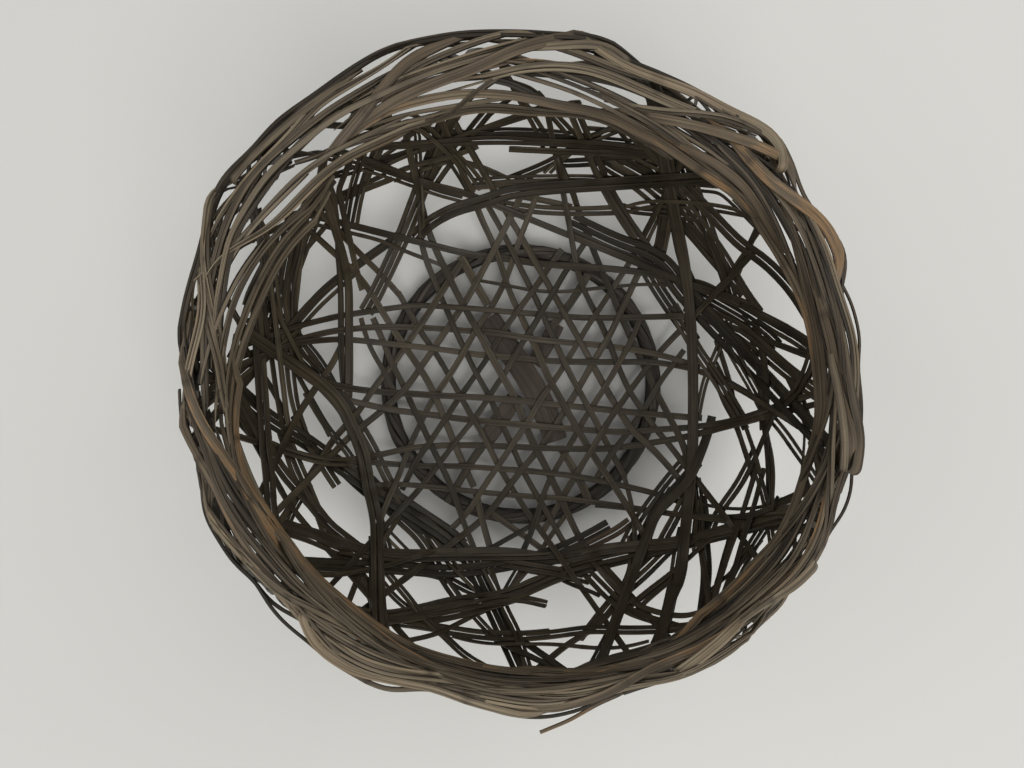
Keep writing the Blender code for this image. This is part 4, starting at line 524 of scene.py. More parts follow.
    (5.0, "g", 0, [(778, 196), (792, 212), (802, 230), (810, 250), (817, 270), (824, 292)]),
    (10.0, "w", 0, [(652, 117), (671, 120), (690, 124), (709, 129), (730, 136), (745, 140), (760, 146), (775, 153), (786, 160)]),
    (3.0, "g", 0, [(675, 131), (697, 141), (709, 150), (722, 160)]),
    (9.0, "w", 0, [(690, 150), (705, 157), (720, 165), (735, 176), (745, 186), (757, 202), (766, 220)]),
    (9.0, "l", 1, [(690, 90), (712, 102), (730, 112), (750, 121), (766, 129), (777, 138), (784, 150), (783, 162)]),
    (12.0, "w", 0, [(735, 142), (745, 155), (755, 165), (765, 177), (778, 188), (793, 198), (806, 207), (818, 217), (828, 226), (835, 238), (838, 252)]),
    # folds at the outside
    (6.5, "g", 1, [(330, 92), (305, 110), (284, 127), (268, 141), (254, 155), (243, 165), (236, 175)]),
    (9.0, "l", 1, [(356, 672), (336, 662), (320, 650), (308, 636), (304, 622)]),
    (9.0, "g", 1, [(560, 46), (580, 44), (600, 44), (614, 48), (622, 58)]),
    (9.0, "l", 1, [(778, 596), (792, 588), (804, 578), (812, 568)]),
    # below the others in the west
    (9.0, "d", 0, [(204, 432), (213, 456), (224, 480), (237, 502), (250, 520), (265, 538)]),
    (9.0, "d", 0, [(206, 450), (213, 474), (223, 498), (236, 520), (250, 540)]),
    (8.0, "d", 0, [(214, 446), (226, 470), (238, 490), (252, 510), (266, 528)]),
]

# splints that stand off the rim: width, kind, height, points
OFF_RIM = [
    (4.0, "d", 0.172, [(200, 480), (204, 505), (212, 530), (224, 550), (238, 566), (248, 573), (256, 583), (262, 593), (270, 605), (280, 617), (290, 628), (300, 637), (312, 646), (326, 658)]),
    (5.0, "d", 0.170, [(232, 560), (240, 568), (252, 579), (263, 592), (275, 604), (288, 613), (298, 618), (310, 628)]),
    (6.5, "g", 0.174, [(325, 655), (345, 668), (360, 677), (375, 685), (390, 690), (410, 690), (430, 689), (445, 692), (460, 698), (480, 706)]),
    (4.0, "d", 0.170, [(480, 705), (500, 712), (520, 716), (545, 716), (570, 711), (590, 705), (608, 697)]),
    (4.0, "w", 0.166, [(540, 732), (555, 726), (570, 720), (585, 712), (600, 704), (615, 697), (630, 689), (648, 680)]),
    (4.0, "g", 0.170, [(630, 686), (645, 684), (665, 682), (680, 679), (700, 671), (720, 660), (738, 649), (750, 636), (764, 622), (782, 604)]),
    (3.5, "d", 0.168, [(853, 462), (853, 474), (852, 485), (848, 500), (840, 517), (832, 530), (824, 546), (817, 560)]),
    (4.0, "b", 0.168, [(817, 562), (808, 573), (797, 583), (785, 594), (774, 606), (762, 620), (752, 632)]),
    (3.5, "b", 0.175, [(838, 278), (843, 288), (850, 303), (854, 318), (858, 335), (859, 350), (859, 365), (861, 382), (862, 400), (861, 420), (858, 440)]),
    (4.5, "b", 0.176, [(833, 232), (840, 240), (845, 252), (846, 265), (843, 280), (839, 294)]),
    (4.0, "d", 0.174, [(832, 240), (838, 250), (841, 262), (840, 274), (836, 288)]),
    (4.5, "g", 0.176, [(772, 130), (781, 138), (786, 150), (793, 165), (797, 178), (801, 190), (808, 204), (816, 214)]),
    (3.5, "b", 0.172, [(778, 172), (784, 178), (791, 187), (799, 197)]),
]

KINDS = {  # tone, redness, wear
    # the low tone of d is partly the splints' own darker colour and partly painted shade, for splints that lie low
    # under others
    "d": (0.10, 0.0, 0.0), "b": (0.36, 0.0, 0.06), "g": (0.56, 0.0, 0.10), "l": (0.84, 0.0, 0.25), "r": (0.55, 0.6, 0.15),
    "w": (0.60, 0.50, 1.0), "u": (0.30, 0.0, 0.0),
}
RNG = np.random.default_rng(SEED)


# ------------------------------------------------------------------ curves
def smooth(points, step):
    """Points about every step along a Catmull-Rom curve through the given points."""
    p = [np.array(q, float) for q in points]
    p = [2 * p[0] - p[1]] + p + [2 * p[-1] - p[-2]]
    out = []
    for a, b, c, d in zip(p, p[1:], p[2:], p[3:]):
        n = max(1, int(round(np.linalg.norm(c - b) / step)))
        t = (np.arange(n) / n)[:, None]
        out.append(0.5 * (2 * b + (c - a) * t + (2 * a - 5 * b + 4 * c - d) * t ** 2 + (3 * b - a - 3 * c + d) * t ** 3))
    out.append(p[-2][None, :])
    return np.concatenate(out)


def runs(points):
    return np.concatenate([[0.0], np.cumsum(np.linalg.norm(np.diff(points, axis=0), axis=1))])


def evenly(points, step, *others):
    """The curve and what goes with it, at equal distances of about step."""
    run = runs(points)
    n = max(4, int(round(run[-1] / step)) + 1)
    at = np.linspace(0, run[-1], n)
    out = []
    for q in (points,) + others:
        q = np.asarray(q, float)
        if q.ndim == 1:
            out.append(np.interp(at, run, q))
        else:
            out.append(np.stack([np.interp(at, run, q[:, k]) for k in range(q.shape[1])], axis=1))
    return out


def unit(v):
    return v / np.maximum(np.linalg.norm(v, axis=-1, keepdims=True), 1e-12)


def blur(values, rounds):
    """The row with its neighbours' mean mixed in, its ends kept."""
    v = np.array(values, float)
    for _ in range(rounds):
        v[1:-1] = 0.5 * v[1:-1] + 0.25 * (v[:-2] + v[2:])
    return v


def wander(n, length, seed, size):
    """A smooth random row of n values of about the given size, that turns every length values."""
    r = np.random.default_rng(seed)
    m = max(4, int(n / length) + 4)
    knots = r.uniform(-1, 1, m)
    x = np.linspace(0, m - 3.001, n) + 1
    k = np.floor(x).astype(int)
    t = x - k
    a, b, c, d = knots[k - 1], knots[k], knots[np.minimum(k + 1, m - 1)], knots[np.minimum(k + 2, m - 1)]
    return size * 0.5 * (2 * b + (c - a) * t + (2 * a - 5 * b + 4 * c - d) * t ** 2 + (3 * b - a - 3 * c + d) * t ** 3)


# ------------------------------------------------------------------ outlines
def outline(points):
    """Radius about the basket's axis at the rim's height, by half degrees, for a ring of sketch points."""
    q = np.array(points, float)
    x = EYE[0] + (q[:, 0] - SHEET_X) / SHEET * (EYE[2] - RIM_Z)
    y = EYE[1] - (q[:, 1] - SHEET_Y) / SHEET * (EYE[2] - RIM_Z)
    angle = np.degrees(np.arctan2(y, x)) % 360
    order = np.argsort(angle)
    grid = np.interp(np.arange(720) / 2, angle[order], np.hypot(x, y)[order], period=360)
    for _ in range(24):
        grid = 0.5 * grid + 0.25 * (np.roll(grid, 1) + np.roll(grid, -1))
    return grid


def ring(values, angle):
    return np.interp(np.degrees(angle) % 360, np.arange(721) / 2, np.append(values, values[0]))


OUTSIDE, INSIDE = outline(RIM_OUTSIDE), outline(RIM_INSIDE)
OVAL = np.clip(OUTSIDE / 0.1462, 0.93, 1.0)  # how far the wall keeps inside the rim's outline
for _ in range(200):
    OVAL = 0.5 * OVAL + 0.25 * (np.roll(OVAL, 1) + np.roll(OVAL, -1))


def oval(angle, z):
    t = np.clip((z - 0.05) / 0.075, 0, 1)
    return 1 + (ring(OVAL, angle) - 1) * t * t * (3 - 2 * t)


# ------------------------------------------------------------------ the bowl
MERIDIAN = smooth(PROFILE, 0.0008)
ARC = runs(MERIDIAN)
SIGHT = MERIDIAN[:int(np.argmax(MERIDIAN[:, 1] > 0.1535))]
ARC_END = float(np.interp(-0.1405, -MERIDIAN[len(SIGHT):, 0], ARC[len(SIGHT):]))


def bowl_point(angle, arc):
    """World point and inward normal for an angle and a distance along the meridian."""
    r, z = np.interp(arc, ARC, MERIDIAN[:, 0]), np.interp(arc, ARC, MERIDIAN[:, 1])
    r = r * oval(angle, z)
    lo, hi = np.clip(arc - 0.004, 0, ARC[-1]), np.clip(arc + 0.004, 0, ARC[-1])
    dr = np.interp(hi, ARC, MERIDIAN[:, 0]) - np.interp(lo, ARC, MERIDIAN[:, 0])
    dz = np.interp(hi, ARC, MERIDIAN[:, 1]) - np.interp(lo, ARC, MERIDIAN[:, 1])
    size = np.hypot(dr, dz)
    c, s = np.cos(angle), np.sin(angle)
    return np.stack([r * c, r * s, z], axis=-1), np.stack([-dz / size * c, -dz / size * s, dr / size], axis=-1)


def on_bowl(x, y):
    """World point, inward normal, height and distance along the meridian for sketch points."""
    x, y = np.asarray(x, float), np.asarray(y, float)
    depth = EYE[2] - SIGHT[:, 1]
    px = EYE[0] + np.outer((x - SHEET_X) / SHEET, depth)
    py = EYE[1] - np.outer((y - SHEET_Y) / SHEET, depth)
    over = np.hypot(px, py) / oval(np.arctan2(py, px), SIGHT[:, 1][None, :]) - SIGHT[:, 0]
    k = np.argmax(over <= 0, axis=1)
    k[(over > 0).all(axis=1)] = len(SIGHT) - 1
    rows = np.arange(len(x))
    j = np.maximum(k - 1, 0)
    a, b = over[rows, j], over[rows, k]
    t = np.where(k > 0, np.clip(a / np.where(a - b == 0, 1, a - b), 0, 1), 0.0)
    arc = ARC[j] * (1 - t) + ARC[k] * t
    z = np.interp(arc, ARC, MERIDIAN[:, 1])
    qx = EYE[0] + (x - SHEET_X) / SHEET * (EYE[2] - z)
    qy = EYE[1] - (y - SHEET_Y) / SHEET * (EYE[2] - z)
    point, normal = bowl_point(np.arctan2(qy, qx), arc)
    flat = np.hypot(qx, qy) < 0.05
    point[flat] = np.stack([qx, qy, z], axis=1)[flat]
    return point, normal, z, arc


def up_wall(line, step=3.0):
    """The sketch line carried on past its end until it is high on the wall, round the rim's openings."""
    out = [q for q in line]
    way = out[-1] - out[-min(5, len(out))]
    way = way / np.linalg.norm(way)
    if on_bowl([out[-1][0]], [out[-1][1]])[2][0] >= SIGHT_TOP:
        return np.array(out)
    bent = 0.0
    for _ in range(90):
        p = out[-1]
        for bend in (0.0, 0.10, -0.10, 0.2, -0.2, 0.35, -0.35, 0.5, -0.5):
            w = turned_by(way, bend)
            if not any(is_open(p + w * d) for d in (3.0, 6.0, 9.0)):
                break
        else:
            break
        bent += abs(bend * 0.6)
        way = turned_by(way, bend * 0.6)
        if bent > 0.7 or (band_place(p) > 0.0 and way @ unit((p - AXIS)[None, :])[0] < 0.22):
            break
        q = p + way * step
        if on_bowl([q[0]], [q[1]])[2][0] >= SIGHT_TOP:
            break
        out.append(q)
    return np.array(out)


class Strand:
    """One splint: its middle line on a base surface, the surface's normals, half its width, and its rank and lift there."""

    def __init__(self, piece, points, normals, half, thick, kind, rank):
        self.piece, self.P, self.N, self.half, self.thick = piece, points, unit(normals), half, thick
        self.rank = np.broadcast_to(np.asarray(rank, float), (len(points),)).copy()
        self.base = np.zeros(len(points))
        self.lift = np.zeros(len(points))
        self.gain = np.ones(len(points))
        self.D = self.N
        self.tone, self.red, self.wear = KINDS[kind]
        self.fold = 0
        self.loop = False
        self.frame()

    def frame(self):
        self.Q = self.P + self.D * self.base[:, None]
        self.T = unit(np.gradient(self.Q, axis=0))
        self.B = unit(np.cross(self.N, self.T))

    def lift_in_sight(self):
        """Lifts move the splint mostly along the line of sight, so that its line in the view stays."""
        V = unit(EYE - self.P)
        c = (V * self.N).sum(1)
        w = np.clip((c - 0.16) / 0.34, 0, 1)
        slide = V / np.maximum(c, 0.1)[:, None] - self.N
        size = np.linalg.norm(slide, axis=1)
        self.D = self.N + slide * (w * w * (3 - 2 * w) * np.minimum(1, 1.9 / np.maximum(size, 1e-6)))[:, None]
        for _ in range(6):
            self.D[1:-1] = 0.5 * self.D[1:-1] + 0.25 * (self.D[:-2] + self.D[2:])


STEP = 0.0026


def bowl_strand(piece, width, up0, up1, kind, points, rank, thick=STRIP_T, draw=RNG):
    line = blur(smooth(points, 3.0), 26)
    if up1:
        line = up_wall(line)
    if up0:
        line = up_wall(line[::-1])[::-1]
    core, normal, z, arc = on_bowl(*line.T)
    along = np.gradient(line, axis=0)
    along /= np.linalg.norm(along, axis=1)[:, None]
    side = np.stack([-along[:, 1], along[:, 0]], axis=1)
    across = unit(np.cross(normal, unit(np.gradient(core, axis=0))))
    half = np.zeros(len(core))
    for lat in (-0.5, 0.5):
        edge = on_bowl(*(line + side * (width * lat)).T)[0]
        half += 0.5 * np.abs(((edge - core) * across).sum(1))
    plain = width * 0.5 * (EYE[2] - core[:, 2]) / SHEET
    half = blur(np.clip(half, 0.9 * plain, 1.4 * plain), 12)
    for up, flip in ((up1, False), (up0, True)):  # over the shoulder into the rim
        if not up or (z[0] if flip else z[-1]) < SIGHT_TOP - 0.008:
            continue
        if flip:
            core, normal, arc, half = core[::-1], normal[::-1], arc[::-1], half[::-1]
        angle = np.unwrap(np.arctan2(core[:, 1], core[:, 0]))
        back = max(0, len(arc) - 6)
        slope = np.clip((angle[-1] - angle[back]) / max(arc[-1] - arc[back], 1e-4), -7.5, 7.5)
        more = np.arange(arc[-1] + 0.0024, ARC_END - 0.005 * draw.random(), 0.0024)
        if len(more):
            turn = angle[-1] + slope * (1 - np.exp(-(more - arc[-1]) / 0.05)) * 0.05
            p, n = bowl_point(turn, more)
            bare = np.array([is_open(q) for q in to_sheet(p)])
            if bare.any():
                last = max(int(np.argmax(bare)) - 2, 0)
                p, n, more = p[:last], n[:last], more[:last]
            slim = half[-1] + (min(half[-1], 0.0017) - half[-1]) * np.clip(np.arange(len(more)) / 8, 0, 1)
            core, normal = np.concatenate([core, p]), np.concatenate([normal, n])
            arc, half = np.concatenate([arc, more]), np.concatenate([half, slim])
        if flip:
            core, normal, arc, half = core[::-1], normal[::-1], arc[::-1], half[::-1]
    core, normal, half = evenly(core, STEP, normal, half)
    s = Strand(piece, core, normal, half, thick, kind, rank(runs(core)) if callable(rank) else rank)
    s.gain = np.interp(core[:, 2], [0.150, 0.166], [1.0, 0.25])
    s.lift_in_sight()
    return s


# ------------------------------------------------------------------ which splint lies over which
def touching(a, b):
    """Places where splint a lies across splint b: point of a, point of b, share of b's next point."""
    pad = a.half.max() + b.half.max() + 0.001
    near_a = np.flatnonzero(((a.Q > b.Q.min(0) - pad) & (a.Q < b.Q.max(0) + pad)).all(1))
    if not len(near_a):
        return None
    lo, hi = a.Q[near_a].min(0) - pad, a.Q[near_a].max(0) + pad
    near_b = np.flatnonzero(((b.Q > lo) & (b.Q < hi)).all(1))
    if not len(near_b):
        return None
    b0 = max(0, near_b[0] - 1)
    b1 = min(len(b.Q) - 1, near_b[-1] + 1)
    seg = b.Q[b0 + 1:b1 + 1] - b.Q[b0:b1]
    if not len(seg):
        return None
    size = (seg ** 2).sum(1)
    base = b.Q[b0:b1]
    found = []
    for lat in (-0.86, -0.3, 0.3, 0.86):
        p = a.Q[near_a] + a.B[near_a] * (a.half[near_a] * lat)[:, None]
        d = p[:, None, :] - base[None, :, :]
        t = np.clip(np.einsum("ijk,jk->ij", d, seg) / size, 0, 1)
        g = ((d - seg * t[:, :, None]) ** 2).sum(2)
        j = g.argmin(1)
        i = np.arange(len(p))
        ok = g[i, j] < (0.93 * b.half[b0 + j]) ** 2
        if ok.any():
            found.append(np.stack([near_a[ok], b0 + j[ok], t[i, j][ok]], axis=1))
    return np.concatenate(found) if found else None


def settle(strands, play, turns, name, wide=(1, 2), flips=True):
    """Lifts the splints where they cross, so that the one with the higher rank there clears the other one."""
    for s in strands:
        s.frame()
    first = np.cumsum([0] + [len(s.P) for s in strands])
    lo = np.array([s.Q.min(0) - s.half.max() for s in strands])
    hi = np.array([s.Q.max(0) + s.half.max() for s in strands])
    meets = ((lo[:, None] < hi[None]) & (lo[None] < hi[:, None])).all(2)
    rows, margin, gid = [], [], 0
    for m in range(len(strands)):
        for n in range(m + 1, len(strands)):
            if not meets[m, n]:
                continue
            a, b = strands[m], strands[n]
            ab, ba = touching(a, b), touching(b, a)
            parts = []
            if ab is not None:
                parts.append(np.column_stack([ab[:, 0], ab[:, 1] + ab[:, 2], first[m] + ab[:, 0], first[m] + ab[:, 0], 0 * ab[:, 2], first[n] + ab[:, 1], first[n] + ab[:, 1] + 1, ab[:, 2]]))
            if ba is not None:
                parts.append(np.column_stack([ba[:, 1] + ba[:, 2], ba[:, 0], first[m] + ba[:, 1], first[m] + ba[:, 1] + 1, ba[:, 2], first[n] + ba[:, 0], first[n] + ba[:, 0], 0 * ba[:, 2]]))
            if not parts:
                continue
            spots = np.concatenate(parts)
            spots = spots[np.argsort(spots[:, 0], kind="stable")]
            cut = np.flatnonzero(np.diff(spots[:, 0]) > 3.5) + 1
            for piece in np.split(spots, cut):
                ia = min(int(round(piece[:, 0].mean())), len(a.rank) - 1)
                ib = min(int(round(piece[:, 1].mean())), len(b.rank) - 1)
                ra, rb = a.rank[ia], b.rank[ib]
                if abs(a.base[ia] - b.base[ib]) > 0.0006:
                    ra, rb = a.base[ia] * 1e6, b.base[ib] * 1e6
                sign = 1.0 if ra >= rb else -1.0
                margin.append(abs(ra - rb))
                need = (0.5 * (a.thick + b.thick) + play) * 0.5 * (a.gain[ia] + b.gain[ib])
                rows.append(np.column_stack([piece[:, 2:], np.full(len(piece), sign), np.full(len(piece), gid), np.full(len(piece), need)]))
                gid += 1
    rows = np.concatenate(rows)
    a0, a1, b0, b1 = (rows[:, c].astype(int) for c in (0, 1, 3, 4))
    ta, tb, sign, gids, need = rows[:, 2], rows[:, 5], rows[:, 6].copy(), rows[:, 7].astype(int), rows[:, 8]
    total = first[-1]
    left, right = np.arange(total), np.arange(total)
    for m in range(len(strands)):
        left[first[m] + 1:first[m + 1]] -= 1
        right[first[m]:first[m + 1] - 1] += 1
    h0 = np.concatenate([s.base for s in strands])
    h = h0.copy()
    margin = np.array(margin)

    for turn in range(turns):
        up = sign > 0
        sides = []
        for one in (True, False):
            idx = np.concatenate([np.where(up == one, a0, b0), np.where(up == one, a1, b1)])
            order = np.argsort(idx, kind="stable")
            who, start = np.unique(idx[order], return_index=True)
            sides.append((order, who, start))

        def push(h, spread):
            lack = need - sign * (h[a0] * (1 - ta) + h[a1] * ta - h[b0] * (1 - tb) - h[b1] * tb)
            v = np.maximum(lack, 0) * 0.5
            v2 = np.concatenate([v, v])
            out = h.copy()
            for (order, who, start), way in zip(sides, (1.0, -1.0)):
                bump = np.zeros(total)
                bump[who] = np.maximum.reduceat(v2[order], start)
                for _ in range(spread[0]):
                    bump = np.maximum(bump, np.maximum(bump[left], bump[right]))
                for _ in range(spread[1]):
                    bump = 0.5 * bump + 0.25 * (bump[left] + bump[right])
                out += way * bump
            return out, lack

        for _ in range(60):
            d = h - h0
            for _ in range(wide[1]):
                d = 0.5 * d + 0.25 * (d[left] + d[right])
            h = h0 + 0.985 * d
            h, lack = push(h, wide)
        for _ in range(24):
            h, lack = push(h, wide)
        for _ in range(12):
            h, lack = push(h, (1, 1))
        if lack.max() < 0.0001 or not flips or turn == turns - 1:
            break
        bad = sorted(set(gids[lack > 0.45 * lack.max()]), key=lambda g: margin[g])[:max(1, gid // 900)]
        for g in bad:
            sign[gids == g] *= -1
            margin[g] += 400.0
    for m, s in enumerate(strands):
        s.lift = blur(h[first[m]:first[m + 1]], 2)
    left_over = np.sort(lack)[::-1]
    print(f"settle {name}: {len(strands)} splints, {len(rows)} spots, {gid} crossings, lack {left_over[0] * 1000:.2f} mm, "
          f"{(lack > 0.0002).sum()} spots over 0.2 mm, {turn + 1} turns, lifts {(h - h0).min() * 1000:.1f} to {(h - h0).max() * 1000:.1f} mm")


# ------------------------------------------------------------------ the rim
def rim_shape():
    out, inn = OUTSIDE, INSIDE
    depth = EYE[2] - RIM_Z
    wide = np.sqrt(np.maximum(((out - inn) / 2) ** 2 - (0.385 * RIM_HIGH) ** 2, 0.0062 ** 2))
    so = np.sqrt(wide ** 2 + (out / depth * RIM_HIGH) ** 2)
    si = np.sqrt(wide ** 2 + (inn / depth * RIM_HIGH) ** 2)
    return 0.5 * (out - so + inn + si), wide


RIM_R, RIM_WIDE = rim_shape()


def rim_point(angle, phi, deep=0.0):
    """World point and outward normal on the rim's rope; phi turns from the outside over the top to the inside."""
    c, a = ring(RIM_R, angle), ring(RIM_WIDE, angle)
    nr, nz = np.cos(phi) / a, np.sin(phi) / RIM_HIGH
    size = np.hypot(nr, nz)
    nr, nz = nr / size, nz / size
    r = c + a * np.cos(phi) - deep * nr
    z = RIM_Z + RIM_HIGH * np.sin(phi) - deep * nz
    ux, uy = np.cos(angle), np.sin(angle)
    return np.stack([r * ux, r * uy, z], axis=-1), np.stack([nr * ux, nr * uy, nz], axis=-1)


def rim_hit(x, y):
    """World point, angle and phi where the sight lines of sketch points meet the rim, or pass it closest."""
    depth = np.linspace(EYE[2] - RIM_Z - RIM_HIGH - 0.002, EYE[2] - RIM_Z + RIM_HIGH * 0.6, 110)
    px = EYE[0] + np.outer((np.asarray(x, float) - SHEET_X) / SHEET, depth)
    py = EYE[1] - np.outer((np.asarray(y, float) - SHEET_Y) / SHEET, depth)
    angle = np.arctan2(py, px)
    u = (np.hypot(px, py) - ring(RIM_R, angle)) / ring(RIM_WIDE, angle)
    v = (EYE[2] - depth - RIM_Z)[None, :] / RIM_HIGH
    f = u ** 2 + v ** 2 - 1
    k = np.where((f <= 0).any(1), np.argmax(f <= 0, axis=1), f.argmin(1))
    rows = np.arange(len(f))
    j = np.maximum(k - 1, 0)
    a, b = f[rows, j], f[rows, k]
    t = np.where((a > 0) & (b <= 0), a / np.where(a - b == 0, 1, a - b), 1.0)
    mix = lambda q: q[rows, j] * (1 - t) + q[rows, k] * t
    point = np.stack([mix(px), mix(py), EYE[2] - mix(np.broadcast_to(depth, f.shape))], axis=1)
    return point, mix(angle), np.arctan2(mix(np.broadcast_to(v, f.shape)), mix(u))


def cover_sheet(lines):
    """For every spot of the sketch, the number of the last splint drawn over it, or -1."""
    sheet = np.full((768, 1024), -1)
    for k, (line, width) in enumerate(lines):
        t = unit(np.gradient(line, axis=0))
        side = np.stack([-t[:, 1], t[:, 0]], axis=1)
        for lat in np.arange(-width / 2, width / 2 + 0.3, 0.6):
            q = np.round(line + side * lat).astype(int)
            sheet[np.clip(q[:, 1], 0, 767), np.clip(q[:, 0], 0, 1023)] = k
    return sheet


RIM_LINES = [(smooth(points, 0.8), width) for width, kind, fold, points in RIM]
COVER = cover_sheet(RIM_LINES)


def covered(q, above=-1, reach=1.0):
    """Whether later splints hide the sketch spots q."""
    out = np.ones(len(q), bool)
    for dx, dy in ((0, 0), (reach, 0), (-reach, 0), (0, reach), (0, -reach)):
        x, y = np.round(q[:, 0] + dx).astype(int), np.round(q[:, 1] + dy).astype(int)
        out &= COVER[np.clip(y, 0, 767), np.clip(x, 0, 1023)] > above
    return out


def rim_frame(point, normal, w):
    """Normals turned toward the eye, the way of lifts and how much they count, for weights w."""
    V = unit(EYE - point)
    face = unit(normal + 0.85 * V * w[:, None])
    D = unit(V * w[:, None] + normal * (1 - w)[:, None])
    return face, D, 1 / np.clip((face * D).sum(1), 0.6, 1)


AXIS = np.array([SHEET_X - EYE[0] / (EYE[2] - RIM_Z) * SHEET, SHEET_Y])


def gap_sheet():
    sheet = np.zeros((768, 1024), bool)
    for a, b, width in GAPS:
        line = np.linspace(a, b, 2 + int(math.dist(a, b)))
        reach = width / 2 + 0.9
        spots = np.array([(x, y) for x in range(-6, 7) for y in range(-6, 7) if math.hypot(x, y) <= reach])
        q = np.round(line[:, None, :] + spots[None, :, :]).astype(int).reshape(-1, 2)
        sheet[q[:, 1], q[:, 0]] = True
    return sheet


OPEN = gap_sheet()


def is_open(q):
    q = np.round(q).astype(int)
    return bool(OPEN[min(max(q[1], 0), 767), min(max(q[0], 0), 1023)])


def to_sheet(p):
    """Sketch spots of world points."""
    depth = EYE[2] - p[:, 2]
    return np.stack([SHEET_X + (p[:, 0] - EYE[0]) / depth * SHEET, SHEET_Y - (p[:, 1] - EYE[1]) / depth * SHEET], axis=1)


def turned_by(v, angle):
    c, s = math.cos(angle), math.sin(angle)
    return np.array([v[0] * c - v[1] * s, v[0] * s + v[1] * c])


def band_place(q):
    """Share of the way from the rim's inner to its outer outline for a sketch spot."""
    arm = q - AXIS
    angle = math.atan2(-arm[1], arm[0])
    k = SHEET / (EYE[2] - RIM_Z)
    inner, outer = float(ring(INSIDE, angle)) * k, float(ring(OUTSIDE, angle)) * k
    return (math.hypot(*arm) - inner) / (outer - inner)


def flow_field():
    """Spots of the drawn rim splints and which way they run there, clockwise in the sketch."""
    spots, ways = [], []
    for width, kind, fold, points in RIM:
        line = blur(smooth(points, 4.0), 6)
        way = unit(np.gradient(line, axis=0))
        arm = line - AXIS
        turn = np.sign(arm[:, 0] * way[:, 1] - arm[:, 1] * way[:, 0])
        spots.append(line)
        ways.append(way * turn[:, None])
    return np.concatenate(spots), np.concatenate(ways)


FLOW_AT, FLOW_WAY = flow_field()


def flow(q):
    gap = ((FLOW_AT - q) ** 2).sum(1)
    weight = np.exp(-gap / (2 * 9.0 ** 2))
    total = weight.sum()
    if total < 0.3:
        arm = unit((q - AXIS)[None, :])[0]
        return np.array([-arm[1], arm[0]])
    way = (FLOW_WAY * weight[:, None]).sum(0) / total
    return way / max(np.linalg.norm(way), 1e-6)


def past_end(line, rank, r, most):
    """The sketch line past its end, with the flow of the rim and round its openings, and whether it got to the rim's edge."""
    out = [line[-1]]
    way = unit((line[-1] - line[-min(9, len(line))])[None, :])[0]
    own = r.uniform(0.03, 0.10)
    hidden = False
    for k in range(int(r.uniform(0.45, 1.0) * most)):
        p = out[-1]
        f = flow(p)
        if way @ f < 0:
            f = -f
        way = unit((way + own * f)[None, :])[0]
        hidden = hidden or bool(covered(p[None, :], rank, 0.6)[0])
        for bend in (0.0, 0.10, -0.10, 0.2, -0.2, 0.3, -0.3):
            w = turned_by(way, bend)
            if not any(is_open(p + w * d) for d in (2.0, 5.0, 9.0, 13.0)):
                break
        else:
            if hidden or k > 9:
                break
            bend = 0.0
        way = turned_by(way, bend * 0.5)
        q = p + way * 3.0
        place = band_place(q)
        if place < 0.02 or place > 0.975:
            return np.array(out[1:]).reshape(-1, 2), True
        out.append(q)
    return np.array(out[1:]).reshape(-1, 2), False


